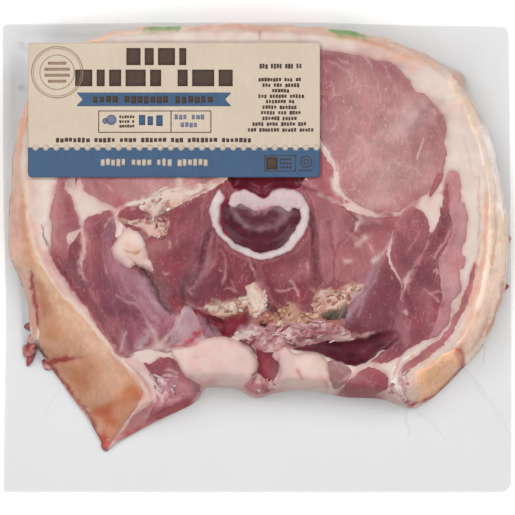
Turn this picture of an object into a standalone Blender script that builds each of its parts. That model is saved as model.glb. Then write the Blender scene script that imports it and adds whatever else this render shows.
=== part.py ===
"""One pork saddle chop sealed in a clear vacuum bag, with a paper label on top.

The pack lies on its back with the label up. The origin is the middle of the pack
on the surface that it rests on, +X is the reader's right, +Y the top of the label
and +Z up. Blender units are metres.
"""

import math

import bmesh
import bpy
import numpy as np

MM = 0.001
HALF_MM = 0.0005  # the drawn outlines below count in half millimetres from the middle

PACK_WIDTH = 254.5 * MM
PACK_DEPTH = 235.0 * MM
FLANGE_THICKNESS = 0.8 * MM
CORNER_RADII = {  # by the signs of x and y
    (-1, 1): 3.0 * MM,
    (1, 1): 5.0 * MM,
    (1, -1): 5.0 * MM,
    (-1, -1): 2.5 * MM,
}
CORNER_SEGMENTS = 5

CHOP_THICKNESS = 22.0 * MM
FLAP_THINNING = 7.0 * MM  # how much less the belly flaps are than the loin
THINNING_STARTS_Y = -21.0 * MM
THINNING_ENDS_Y = -86.0 * MM
SIDE_ROUNDNESS = 1.9  # above 1 the sides rise steeply and round over
FORM_CELL = 1.8 * MM
FORM_FACES_KEPT = 0.30  # share of the fine grid's faces that the shape needs
FORM_FOOT = 0.4 * MM  # where the form ends inside the flange
FORM_BOTTOM = 0.2 * MM
SHORTEST_EDGE = 0.15 * MM
NARROWEST_SIDE = 2.0 * MM  # the least width on the plan of the rounded side

LABEL_WIDTH = 145.5 * MM
LABEL_DEPTH = 67.5 * MM
LABEL_CENTRE = (-41.5 * MM, 73.5 * MM)
LABEL_THICKNESS = 0.4 * MM
LABEL_GAP = 0.3 * MM
LABEL_CELL = 4.5 * MM
LABEL_LEVEL = 22.8 * MM
LABEL_CORNER_RADIUS = 3.2 * MM
LABEL_BLEND = 7.0 * MM
LABEL_TRIM_MARGIN = 2.0 * MM
LABEL_HOLD = 3.0  # how soon on the rounded side the film follows the label
OVERHANG_STARTS = (-100.0 * MM, 78.0 * MM)  # the label's free corner bends down from here
OVERHANG_DIRECTION = (-0.62, 0.785)
OVERHANG_RADIUS = 42.0 * MM

# Where the film round the chop meets the flange, clockwise from the left side.
FOOT = [
    (-244, 83), (-245, 128), (-245, 163), (-245, 198), (-240, 220), (-217, 226),
    (-177, 224), (-137, 227), (-92, 231), (-47, 233), (-2, 233), (43, 231),
    (88, 227), (128, 218), (163, 205), (190, 191), (206, 184), (210, 166),
    (223, 141), (235, 113), (241, 83), (248, 48), (250, 18), (249, -12),
    (246, -34), (236, -64), (225, -89), (205, -111), (183, -133), (164, -147),
    (151, -150), (123, -141), (88, -139), (53, -133), (23, -134), (-1, -140),
    (-22, -131), (-51, -130), (-63, -145), (-102, -164), (-137, -183),
    (-149, -192), (-158, -182), (-177, -148), (-207, -112), (-232, -108),
    (-237, -82), (-235, -52), (-239, -22), (-247, 0), (-247, 43),
]

# Where the chop's rounded edge reaches the height of its cut face.
SHOULDER = [
    (-230, 78), (-227, 118), (-219, 153), (-205, 180), (-179, 203), (-147, 215),
    (-97, 223), (-47, 225), (-2, 225), (43, 223), (88, 218), (128, 208),
    (161, 194), (188, 178), (199, 160), (209, 138), (221, 108), (227, 73),
    (231, 38), (231, 3), (225, -32), (213, -64), (195, -84), (171, -104),
    (153, -122), (141, -130), (118, -128), (88, -126), (55, -120), (28, -120),
    (5, -120), (-17, -116), (-45, -114), (-71, -118), (-92, -134), (-111, -142),
    (-119, -130), (-139, -98), (-162, -69), (-189, -42), (-209, -16), (-223, 8),
    (-229, 43),
]

# Domes on the cut face: middle and half widths in half millimetres, turn in degrees, rise.
DOMES = {
    "right_loin_eye": ((118, 123), (84, 88), -20, 1.8 * MM),
    "left_loin_eye": ((-105, 96), (78, 62), 0, 1.0 * MM),
    "left_inner_muscle": ((-77, 8), (36, 56), 5, 1.6 * MM),
    "left_middle_muscle": ((-165, -17), (17, 76), 8, 1.0 * MM),
    "left_outer_muscle": ((-191, 23), (20, 62), -6, 1.0 * MM),
    "left_fat_nodule": ((-125, 8), (20, 23), 0, 2.4 * MM),
    "middle_left_muscle": ((-24, -27), (33, 31), 0, 1.3 * MM),
    "middle_right_muscle": ((33, -30), (38, 32), 0, 1.3 * MM),
    "right_inner_muscle": ((88, -8), (38, 50), 0, 1.4 * MM),
    "right_middle_muscle": ((150, -12), (27, 72), -22, 1.3 * MM),
    "right_outer_muscle": ((192, -2), (22, 78), -5, 1.0 * MM),
    "lower_left_fat_lobe": ((-39, -102), (43, 27), 0, 3.2 * MM),
    "lower_right_fat_lobe": ((48, -110), (38, 23), 0, 3.2 * MM),
    "lower_right_muscle": ((112, -122), (40, 18), 0, 1.6 * MM),
    "lower_left_muscle": ((-82, -118), (28, 24), 30, 1.4 * MM),
}

CREASE_END_SHARE = 0.35  # how deep a valley still is at its two ends
CREASE_FADE_LENGTH = 2.5  # in half widths of the valley

# Valleys in the cut face: a line in half millimetres, half width and depth.
CREASES = {
    "left_fold": ([(-49, 33), (-51, 10), (-58, -12), (-68, -32), (-78, -46)], 4.5 * MM, 3.2 * MM),
    "diagonal_fold": ([(-122, -6), (-106, -20), (-94, -38), (-87, -54)], 4.0 * MM, 2.6 * MM),
    "right_fold": ([(56, 43), (57, 8), (61, -32)], 3.0 * MM, 1.4 * MM),
    "right_pocket": ([(40, -92), (78, -90), (108, -87), (132, -76)], 8.0 * MM, 6.0 * MM),
    "spinal_canal": ([(-22, 75), (5, 76), (38, 73)], 6.0 * MM, 3.0 * MM),
    "middle_groove": ([(-36, -62), (-14, -72), (2, -88), (12, -108)], 5.0 * MM, 3.4 * MM),
    "left_flap_valley": ([(-207, 8), (-172, -42), (-148, -80)], 3.0 * MM, 2.2 * MM),
    "right_flap_valley": ([(213, -12), (198, -62), (168, -92)], 2.2 * MM, 1.2 * MM),
}

BONE_CENTRE = (2, 33)  # the cut end of the backbone, half millimetres
BONE_HALF_SIZE = (50, 34)
BONE_RIM_RISE = 0.9 * MM
BONE_RIM_WIDTH = 0.16  # as a share of the bone's half size
MARROW_DIP = 1.0 * MM
MARROW_SLOPE = 0.4  # the part of the bone's half size on which the core falls

SPLINE_STEPS = 4
SAME_PLACE = 1e-7


def clear_scene():
    for item in list(bpy.data.objects):
        bpy.data.objects.remove(item, do_unlink=True)


def collection(name):
    made = bpy.data.collections.new(name)
    bpy.context.scene.collection.children.link(made)
    return made


def material(name, colour, roughness):
    made = bpy.data.materials.new(name)
    made.use_nodes = True
    shader = made.node_tree.nodes["Principled BSDF"]
    shader.inputs["Base Color"].default_value = (*colour, 1.0)
    shader.inputs["Roughness"].default_value = roughness
    shader.inputs["Metallic"].default_value = 0.0
    return made


def smooth_loop(points):
    """A closed smooth curve through the points, as an array of metres."""
    knots = np.array(points, float) * HALF_MM
    before, after, beyond = (np.roll(knots, shift, axis=0) for shift in (1, -1, -2))
    rows = []
    for step in range(SPLINE_STEPS):
        t = step / SPLINE_STEPS
        rows.append(
            0.5
            * (
                2 * knots
                + (after - before) * t
                + (2 * before - 5 * knots + 4 * after - beyond) * t**2
                + (3 * knots - before - 3 * after + beyond) * t**3
            )
        )
    return np.stack(rows, axis=1).reshape(-1, 2)


def distance_to_line(places, line, closed):
    """The least distance from each place to a chain of points."""
    starts = line if closed else line[:-1]
    ends = np.roll(line, -1, axis=0) if closed else line[1:]
    along = ends - starts
    length = np.maximum((along**2).sum(1), 1e-12)
    offset = places[:, None, :] - starts[None, :, :]
    share = np.clip((offset * along).sum(2) / length, 0, 1)
    gap = offset - share[:, :, None] * along
    return np.sqrt((gap**2).sum(2).min(1))


def is_inside(places, loop):
    """True where a place lies inside a closed chain of points."""
    x, y = places[:, :1], places[:, 1:]
    x0, y0 = loop[:, 0], loop[:, 1]
    x1, y1 = np.roll(x0, -1), np.roll(y0, -1)
    spans = (y0 > y) != (y1 > y)
    rise = np.where(y1 == y0, 1e-12, y1 - y0)
    crossing = x0 + (y - y0) * (x1 - x0) / rise
    return (spans & (x < crossing)).sum(1) % 2 == 1


def ease(share):
    share = np.clip(share, 0, 1)
    return share * share * (3 - 2 * share)


def dome_rise(places, middle, half_size, turn, rise):
    """A rounded cap on an ellipse, nothing outside it."""
    offset = places - np.array(middle) * HALF_MM
    angle = math.radians(turn)
    across = offset[:, 0] * math.cos(angle) + offset[:, 1] * math.sin(angle)
    along = offset[:, 1] * math.cos(angle) - offset[:, 0] * math.sin(angle)
    reach = (across / (half_size[0] * HALF_MM)) ** 2 + (along / (half_size[1] * HALF_MM)) ** 2
    return rise * np.clip(1 - reach, 0, 1)


def crease_depth(places, line, half_width, depth):
    """A rounded valley along a line, shallower towards both of its ends."""
    away = distance_to_line(places, line, False)
    to_end = np.sqrt(((places[:, None, :] - line[[0, -1]]) ** 2).sum(2).min(1))
    grown = ease(to_end / (CREASE_FADE_LENGTH * half_width))
    share = CREASE_END_SHARE + (1 - CREASE_END_SHARE) * grown
    return depth * share * np.exp(-((away / half_width) ** 2))


def bone_rise(places):
    """A raised rim of hard bone round a slightly hollow core."""
    offset = (places - np.array(BONE_CENTRE) * HALF_MM) / (np.array(BONE_HALF_SIZE) * HALF_MM)
    reach = np.sqrt((offset**2).sum(1))
    rim = BONE_RIM_RISE * np.exp(-(((reach - 1) / BONE_RIM_WIDTH) ** 2))
    return rim - MARROW_DIP * ease((1 - reach) / MARROW_SLOPE)


def label_height(places):
    """The underside of the label: level, with its free corner bent down in a wide arc."""
    offset = places - np.array(OVERHANG_STARTS)
    past = np.maximum(offset @ np.array(OVERHANG_DIRECTION), 0)
    return LABEL_LEVEL - past**2 / (2 * OVERHANG_RADIUS)


def distance_off_label(places):
    half = np.array([LABEL_WIDTH, LABEL_DEPTH]) / 2
    over = np.abs(places - np.array(LABEL_CENTRE)) - half
    return np.sqrt((np.maximum(over, 0) ** 2).sum(1))


def form_height(places):
    """The outside of the bag over the chop, at each place on the plan."""
    foot, shoulder = smooth_loop(FOOT), smooth_loop(SHOULDER)
    from_foot = distance_to_line(places, foot, True)
    from_foot = np.where(is_inside(places, foot), from_foot, -from_foot)
    to_shoulder = distance_to_line(places, shoulder, True)
    to_shoulder = np.where(is_inside(places, shoulder), 0, to_shoulder)
    share = np.minimum(from_foot / np.maximum(from_foot + to_shoulder, NARROWEST_SIDE), 1)
    thinning = ease((THINNING_STARTS_Y - places[:, 1]) / (THINNING_STARTS_Y - THINNING_ENDS_Y))
    face = CHOP_THICKNESS - FLAP_THINNING * thinning + bone_rise(places)
    for middle, half_size, turn, rise in DOMES.values():
        face = face + dome_rise(places, middle, half_size, turn, rise)
    for line, half_width, depth in CREASES.values():
        face = face - crease_depth(places, np.array(line, float) * HALF_MM, half_width, depth)
    height = FORM_FOOT + (face - FORM_FOOT) * (1 - (1 - share) ** SIDE_ROUNDNESS)
    under_label = 1 - ease(distance_off_label(places) / LABEL_BLEND)
    rests = label_height(places) - LABEL_GAP
    blended = height + (rests - height) * under_label * ease(share * LABEL_HOLD)
    return np.where(distance_off_label(places) < FORM_CELL, rests, blended)


def grid_mesh(bm, low, high, cell):
    """A flat grid of near-square cells from corner to corner, in a bmesh."""
    size = [h - l for l, h in zip(low, high)]
    counts = [max(1, round(side / cell)) for side in size]
    bmesh.ops.create_grid(bm, x_segments=counts[0], y_segments=counts[1], size=0.5)
    bmesh.ops.scale(bm, vec=(size[0], size[1], 1), verts=bm.verts)
    middle = [(l + h) / 2 for l, h in zip(low, high)]
    bmesh.ops.translate(bm, vec=(middle[0], middle[1], 0), verts=bm.verts)


def lift(bm, height_at):
    """Raises every vertex of a flat mesh to height_at its place."""
    bm.verts.ensure_lookup_table()
    places = np.array([vertex.co[:2] for vertex in bm.verts])
    for vertex, height in zip(bm.verts, height_at(places)):
        vertex.co.z = height


def object_from(bm, name, group, finish=None):
    mesh = bpy.data.meshes.new(name)
    bmesh.ops.recalc_face_normals(bm, faces=bm.faces)
    bm.to_mesh(mesh)
    bm.free()
    made = bpy.data.objects.new(name, mesh)
    group.objects.link(made)
    if finish:
        made.data.materials.append(finish)
    return made


def rounded_plate(bm, width, depth, bottom, top, radii):
    """A plate round the z axis whose four upright edges are rounded one by one."""
    bmesh.ops.create_cube(bm, size=1)
    bmesh.ops.scale(bm, vec=(width, depth, top - bottom), verts=bm.verts)
    bmesh.ops.translate(bm, vec=(0, 0, (top + bottom) / 2), verts=bm.verts)
    for (sign_x, sign_y), radius in radii.items():
        upright = [
            edge
            for edge in bm.edges
            if all(
                math.isclose(vertex.co.x, sign_x * width / 2, abs_tol=SAME_PLACE)
                and math.isclose(vertex.co.y, sign_y * depth / 2, abs_tol=SAME_PLACE)
                for vertex in edge.verts
            )
        ]
        bmesh.ops.bevel(
            bm,
            geom=upright,
            offset=radius,
            offset_type="OFFSET",
            segments=CORNER_SEGMENTS,
            profile=0.5,
            affect="EDGES",
            material=-1,
        )


def helper(item):
    item.hide_render = True
    item.display_type = "WIRE"


def make_form(group):
    """The bulge of the chop under its film, as a closed block with its foot in the flange."""
    outline = smooth_loop(FOOT)
    bm = bmesh.new()
    grid_mesh(bm, outline.min(0) - FORM_CELL, outline.max(0) + FORM_CELL, FORM_CELL)
    lift(bm, form_height)
    bmesh.ops.bisect_plane(
        bm,
        geom=[*bm.verts, *bm.edges, *bm.faces],
        plane_co=(0, 0, FORM_FOOT),
        plane_no=(0, 0, 1),
        clear_inner=True,
    )
    bmesh.ops.dissolve_degenerate(bm, dist=SHORTEST_EDGE, edges=bm.edges)
    sides = bmesh.ops.extrude_edge_only(bm, edges=[e for e in bm.edges if e.is_boundary])
    for element in sides["geom"]:
        if isinstance(element, bmesh.types.BMVert):
            element.co.z = FORM_BOTTOM
    bmesh.ops.holes_fill(bm, edges=[e for e in bm.edges if e.is_boundary])
    form = object_from(bm, "chop_form", group)
    fewer = form.modifiers.new("fewer_faces", "DECIMATE")
    fewer.ratio = FORM_FACES_KEPT
    helper(form)
    return form


def make_bag(parts, cutters, finish):
    """The sealed bag: its thin flange joined with the bulge of the chop."""
    bm = bmesh.new()
    rounded_plate(bm, PACK_WIDTH, PACK_DEPTH, 0, FLANGE_THICKNESS, CORNER_RADII)
    bag = object_from(bm, "sealed_bag", parts, finish)
    union = bag.modifiers.new("chop_bulge", "BOOLEAN")
    union.operation = "UNION"
    union.object = make_form(cutters)
    return bag


def make_label(parts, cutters, finish):
    """The paper label, a thin sheet that lies on the film and rounds at its corners."""
    half = (LABEL_WIDTH / 2, LABEL_DEPTH / 2)
    bm = bmesh.new()
    grid_mesh(
        bm,
        [c - h - LABEL_TRIM_MARGIN for c, h in zip(LABEL_CENTRE, half)],
        [c + h + LABEL_TRIM_MARGIN for c, h in zip(LABEL_CENTRE, half)],
        LABEL_CELL,
    )
    lift(bm, label_height)
    label = object_from(bm, "label", parts, finish)
    sheet = label.modifiers.new("paper", "SOLIDIFY")
    sheet.thickness = LABEL_THICKNESS
    sheet.offset = 1
    bm = bmesh.new()
    radii = {corner: LABEL_CORNER_RADIUS for corner in CORNER_RADII}
    rounded_plate(bm, LABEL_WIDTH, LABEL_DEPTH, 0, 2 * CHOP_THICKNESS, radii)
    bmesh.ops.translate(bm, vec=(*LABEL_CENTRE, 0), verts=bm.verts)
    outline = object_from(bm, "label_outline", cutters)
    helper(outline)
    trim = label.modifiers.new("rounded_corners", "BOOLEAN")
    trim.operation = "INTERSECT"
    trim.object = outline
    return label


def main():
    clear_scene()
    parts = collection("vacuum_packed_chop")
    cutters = collection("cutters")
    film = material("clear_film_over_pork", (0.46, 0.17, 0.17), 0.25)
    paper = material("cream_label_paper", (0.66, 0.54, 0.42), 0.55)
    make_bag(parts, cutters, film)
    make_label(parts, cutters, paper)


main()
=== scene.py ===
"""Looks of a raw pork saddle chop, vacuum sealed in clear film under a paper label.

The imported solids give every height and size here. The chop is made of its own pieces,
fat, rind, muscles, bone, folds and blood, and the film is drawn over them.
"""

import math

import bmesh
import bpy
import numpy as np
from bpy.props import FloatProperty, FloatVectorProperty, PointerProperty
from mathutils import Matrix, Vector
from mathutils.bvhtree import BVHTree


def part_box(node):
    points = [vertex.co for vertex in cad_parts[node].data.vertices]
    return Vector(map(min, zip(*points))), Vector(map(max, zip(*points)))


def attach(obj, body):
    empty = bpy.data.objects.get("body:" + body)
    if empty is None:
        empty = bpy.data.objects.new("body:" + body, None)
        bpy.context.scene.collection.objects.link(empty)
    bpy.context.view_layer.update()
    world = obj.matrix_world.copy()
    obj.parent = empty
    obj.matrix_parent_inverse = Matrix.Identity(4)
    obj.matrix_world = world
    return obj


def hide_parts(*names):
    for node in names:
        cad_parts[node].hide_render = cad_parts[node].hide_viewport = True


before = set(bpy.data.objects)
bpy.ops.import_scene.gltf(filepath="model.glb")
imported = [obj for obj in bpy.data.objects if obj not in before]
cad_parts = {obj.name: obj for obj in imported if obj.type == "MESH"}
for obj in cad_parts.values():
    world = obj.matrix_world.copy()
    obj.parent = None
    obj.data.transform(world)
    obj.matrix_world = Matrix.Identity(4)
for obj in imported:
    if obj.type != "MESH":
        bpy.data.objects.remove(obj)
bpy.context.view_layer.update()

bl_info = {
    "name": "Vacuum packed chop",
    "version": (1, 0, 0),
    "blender": (4, 5, 0),
    "location": "View3D > Sidebar > Chop",
    "description": "Builds a vacuum packed saddle chop piece by piece",
    "category": "Object",
}

MM = 0.001

# The drawing sheet: half millimetres, x to the right and y towards the reader, counted
# from a corner up and to the left of the pack. Every outline and line below is on it.
SHEET_UNIT = 0.5 * MM
SHEET_WIDTH = 515
SHEET_MIDDLE = (257.25, 257.5)

SAMPLE_STEP = 1.0 * MM  # of the height maps
EDGE_INSET = 1.5 * MM  # past a solid, its height is that this far inside its border
SPLINE_STEPS = 5
WARP_WAVES = ((5.0 * MM, 0.55 * MM, 40), (2.2 * MM, 0.35 * MM, 50), (1.1 * MM, 0.2 * MM, 60))
CHUNK = 4096  # places measured at once
STROKE_FADE = 0.45  # how far a stroke dies away in places
UNEVEN_WIDTH = 0.5  # how much its width varies
STROKE_REACH = 2.6  # in widths, past which a stroke doesn't show
SIDE_WIDTH = 5.0 * MM  # where relief fades out towards the foot of the chop
CHOP_FLOOR = 0.3 * MM
KNOB_FLOOR = 0.22 * MM
BACK_LEVEL = 0.12 * MM  # the back of the bag, under the chop
RAGGEDNESS = 0.22 * MM  # of the border of a cut muscle
BORDER_BLEED = (0.9, (206, 146, 142), 0.6)  # of a muscle into the fat beside it
BLOTCH_EDGE = 3.5  # how hard the blotches of torn tissue end
TORN_ROUGHNESS = 0.3 * MM
PAINT_DEPTH = 0.80  # how much deeper the flesh is painted than it shows under the lamps
KNOB_COVER = 0.42 * MM  # how deep a knob stays under the solid's top
BORDER_TOP = 0.55 * MM
PAINT_LAYER = "tissue_colour"
LEAN_FRINGE = (0.9 * MM, (196, 140, 140), 0.55)
BONE_FRINGE = (0.8 * MM, (186, 112, 124), 0.7)
FAT_FRINGE = (1.2 * MM, (204, 150, 146), 0.6)
BONE_ROUNDING = 1.3 * MM
FAT_ROUNDING = 3.5 * MM
SCRAP_RAGGEDNESS = (0.55, 1.25)  # how far each corner of a scrap stands out
SCRAP_THICKNESS = (0.2, 0.42)  # in mm, half of it
KNOB_TONES = ((226, 178, 170), (146, 40, 54))  # beside its own
SEAM_OVERLAP = 0.5 * MM  # of the welded border with the film over the chop
BORDER_CELL = 0.95 * MM
BACK_CELL = 2.4 * MM
BORDER_WAVE = (14 * MM, 0.1 * MM)  # length and height
LABEL_CELL = 0.9 * MM
RIBBON_CELL = 0.5 * MM
PRINT_CELL = 3.0 * MM
INK_THICKNESS = 0.02 * MM
PAPER_THICKNESS = 0.12 * MM
LABEL_COVER = 0.2 * MM  # how deep the paper's top stays under the label's solid
CAMERA_HEIGHT = 5.0
SENSOR_WIDTH = 36
LAMPS = ((45, 12.2), (135, 14.6), (225, 10.2), (315, 9.0))  # turn in degrees, watts
LAMP_SIZE = 0.9
LAMP_SLOPE = 1.1  # up for each metre away
LAMP_REACH = 1.1
CONTENTS = []  # the finished pieces of the chop, which the film is drawn over

# Colours as a display shows them.
CREAM_FAT = (232, 215, 204)
WHITE_FAT = (236, 222, 213)
SEAM_FAT = (214, 176, 170)
BLOOD = (150, 44, 56)
TAN_SKIN = (212, 162, 134)
GREEN_INK = (84, 166, 66)
BONE_WHITE = (222, 205, 203)


def on_sheet(points):
    """Sheet coordinates as metres in the pack's frame."""
    spots = np.array(points, float).reshape(-1, 2)
    across = (spots[:, 0] - SHEET_MIDDLE[0]) * SHEET_UNIT
    away = (SHEET_MIDDLE[1] - spots[:, 1]) * SHEET_UNIT
    return np.column_stack([across, away])


def linear(colour):
    """An eight bit display colour as linear light."""
    share = np.array(colour, float) / 255
    return np.where(share <= 0.04045, share / 12.92, ((share + 0.055) / 1.055) ** 2.4)


def ease(share):
    share = np.clip(share, 0, 1)
    return share * share * (3 - 2 * share)


def rounded(knots, closed):
    """A smooth curve through the knots."""
    if len(knots) < 3:
        return knots
    if closed:
        before, after, beyond = (np.roll(knots, turn, axis=0) for turn in (1, -1, -2))
        starts = knots
    else:
        padded = np.vstack([2 * knots[0] - knots[1], knots, 2 * knots[-1] - knots[-2]])
        before, starts, after, beyond = padded[:-3], padded[1:-2], padded[2:-1], padded[3:]
    rows = []
    for t in np.arange(SPLINE_STEPS) / SPLINE_STEPS:
        bend = (2 * before - 5 * starts + 4 * after - beyond) * t**2
        twist = (3 * starts - before - 3 * after + beyond) * t**3
        rows.append(0.5 * (2 * starts + (after - before) * t + bend + twist))
    curve = np.stack(rows, axis=1).reshape(-1, 2)
    return curve if closed else np.vstack([curve, knots[-1:]])


def grown(loop, distance):
    """A closed line moved outwards by a distance."""
    along = np.roll(loop, -1, axis=0) - np.roll(loop, 1, axis=0)
    along /= np.maximum(np.linalg.norm(along, axis=1), 1e-9)[:, None]
    x, y = loop.T
    turn = np.sign((x * np.roll(y, -1) - np.roll(x, -1) * y).sum())
    return loop + turn * distance * np.column_stack([along[:, 1], -along[:, 0]])


def nearest_on(places, line, closed):
    """For each place, how far the line is and its nearest point."""
    starts = line if closed else line[:-1]
    ends = np.roll(line, -1, axis=0) if closed else line[1:]
    along = ends - starts
    length = np.maximum((along**2).sum(1), 1e-14)
    far, spots = [np.zeros(0)], [np.zeros((0, 2))]
    for first in range(0, len(places), CHUNK):
        part = places[first : first + CHUNK]
        offset = part[:, None, :] - starts[None]
        share = np.clip((offset * along).sum(2) / length, 0, 1)
        gap = ((offset - share[:, :, None] * along) ** 2).sum(2)
        best = gap.argmin(1)
        rows = np.arange(len(part))
        far.append(np.sqrt(gap[rows, best]))
        spots.append(starts[best] + share[rows, best][:, None] * along[best])
    return np.concatenate(far), np.concatenate(spots)


def is_inside(places, loop):
    x0, y0 = loop[:, 0], loop[:, 1]
    x1, y1 = np.roll(x0, -1), np.roll(y0, -1)
    rise = np.where(y1 == y0, 1e-14, y1 - y0)
    found = [np.zeros(0, bool)]
    for first in range(0, len(places), CHUNK):
        x, y = places[first : first + CHUNK, :1], places[first : first + CHUNK, 1:]
        spans = (y0 > y) != (y1 > y)
        found.append((spans & (x < x0 + (y - y0) * (x1 - x0) / rise)).sum(1) % 2 == 1)
    return np.concatenate(found)


def depth_inside(places, loop):
    """The distance to a closed line, negative outside it, and the nearest point on it."""
    far, spots = nearest_on(places, loop, True)
    return np.where(is_inside(places, loop), far, -far), spots


def ripple(places, wavelength, seed):
    """Smooth random waves between -1 and 1, with bumps about one wavelength apart."""
    size = 64
    table = np.random.default_rng(seed).uniform(-1, 1, (size, size))
    grid = places / wavelength + size / 2
    cell = np.floor(grid).astype(int)
    u, v = (ease(axis) for axis in (grid - cell).T)
    i, j = (cell % size).T
    i_next, j_next = (i + 1) % size, (j + 1) % size
    near = table[i, j] * (1 - u) + table[i_next, j] * u
    far = table[i, j_next] * (1 - u) + table[i_next, j_next] * u
    return near * (1 - v) + far * v


def warp(places):
    """A fixed wandering of up to half a millimetre, so that no cut edge is drawn clean."""
    drift = np.zeros((len(places), 2))
    for wavelength, size, seed in WARP_WAVES:
        for axis in (0, 1):
            drift[:, axis] += size * ripple(places, wavelength, seed + axis)
    return drift


class Height:
    """The top of a solid as a smooth height map."""

    def __init__(self, solid, low, high, floor, spread, passes):
        tree = BVHTree.FromBMesh(solid)
        solid.free()
        low, high = np.array(low[:2]), np.array(high[:2])
        self.low = low - 4 * SAMPLE_STEP
        counts = np.ceil((high - low + 8 * SAMPLE_STEP) / SAMPLE_STEP).astype(int) + 1
        grid = np.full(counts, floor)
        for cell in np.ndindex(*counts):
            spot = self.low + np.array(cell) * SAMPLE_STEP
            spot = np.clip(spot, low + EDGE_INSET, high - EDGE_INSET)
            hit = tree.ray_cast(Vector((*spot, 1.0)), Vector((0, 0, -1)))[0]
            if hit is not None:
                grid[cell] = hit.z
        for axis in [0, 1] * spread:
            around = [np.roll(grid, step, axis=axis) for step in (-1, 0, 1)]
            grid = np.maximum.reduce(around)
        for axis in [0, 1] * passes:
            grid = (np.roll(grid, 1, axis=axis) + 2 * grid + np.roll(grid, -1, axis=axis)) / 4
        self.grid = grid

    def at(self, places):
        return self.read(self.grid, places)

    def read(self, values, places):
        """Values of the grid's points, read off in between."""
        grid = (places - self.low) / SAMPLE_STEP
        cell = np.clip(np.floor(grid).astype(int), 0, np.array(values.shape) - 2)
        u, v = np.clip(grid - cell, 0, 1).T
        i, j = cell.T
        near = values[i, j] * (1 - u) + values[i + 1, j] * u
        far = values[i, j + 1] * (1 - u) + values[i + 1, j + 1] * u
        return near * (1 - v) + far * v


def node_surface(node, floor, passes):
    solid = bmesh.new()
    solid.from_mesh(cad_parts[node].data)
    return Height(solid, *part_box(node), floor, 0, passes)


BAG = node_surface("sealed_bag", 0.0, 1)
LABEL_TOP = node_surface("label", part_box("label")[1].z, 0)


class Stroke:
    """A line of colour and relief that fades out to both sides."""

    def __init__(self, width, colour, strength, rise, points):
        line = rounded(on_sheet(points), False)
        self.line = line if len(line) > 1 else np.vstack([line, line + 1e-6])
        self.width = width * MM
        length = np.linalg.norm(np.diff(self.line, axis=0), axis=1).sum()
        self.taper = max(min(4 * self.width, length / 3), 1e-6)
        self.colour = linear(colour)
        self.strength = strength
        self.rise = rise * MM
        self.low = self.line.min(0) - STROKE_REACH * self.width
        self.high = self.line.max(0) + STROKE_REACH * self.width

    def share(self, places):
        """Which places it touches, and how much."""
        near = np.flatnonzero(((places > self.low) & (places < self.high)).all(1))
        spots = places[near]
        far = nearest_on(spots + warp(spots), self.line, False)[0]
        fade = 1 - STROKE_FADE * (0.5 + 0.5 * ripple(spots, max(2.6 * MM, 1.4 * self.width), 71))
        ends = np.minimum(*(np.linalg.norm(spots - end, axis=1) for end in self.line[[0, -1]]))
        width = self.width * (0.55 + 0.45 * ease(ends / self.taper))
        width *= 1 + UNEVEN_WIDTH * ripple(spots, max(1.9 * MM, 1.1 * self.width), 72)
        return near, fade * np.exp(-((far / width) ** 2))


# The outline of the film round the chop, where it meets the welded border.
CHOP_FOOT = [
    (13, 175), (12, 130), (12, 95), (12, 60), (17, 38), (40, 32), (80, 34), (120, 31),
    (165, 27), (210, 25), (255, 25), (300, 27), (345, 31), (385, 40), (420, 53),
    (447, 67), (463, 74), (467, 92), (480, 117), (492, 145), (498, 175), (505, 210),
    (507, 240), (506, 270), (503, 292), (493, 322), (482, 347), (462, 369), (440, 391),
    (421, 405), (408, 408), (380, 399), (345, 397), (310, 391), (280, 392), (256, 398),
    (235, 389), (206, 388), (194, 403), (155, 422), (120, 441), (108, 450), (99, 440),
    (80, 406), (50, 370), (25, 366), (20, 340), (22, 310), (18, 280), (10, 258),
    (10, 215),
]
FOOT_LOOP = rounded(on_sheet(CHOP_FOOT), True)

# The chop itself falls short of the film under the label's free corner and beside the
# left flap.
HIDDEN_CORNER = [(14, 155), (18, 133), (27, 105), (40, 82), (58, 62), (78, 48), (93, 41)]
FLAP_SIDE = [
    (108, 449), (103, 445), (97, 434), (88, 419), (73, 399), (59, 379), (49, 365),
    (41, 352), (35, 342), (31, 332), (29.5, 318), (28, 300), (24, 286), (18, 272),
    (12, 260), (10, 240), (10, 215),
]
BODY = [(13, 175), *HIDDEN_CORNER, *CHOP_FOOT[7:42], *FLAP_SIDE]
BODY_LOOP = rounded(on_sheet(BODY), True)

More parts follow.
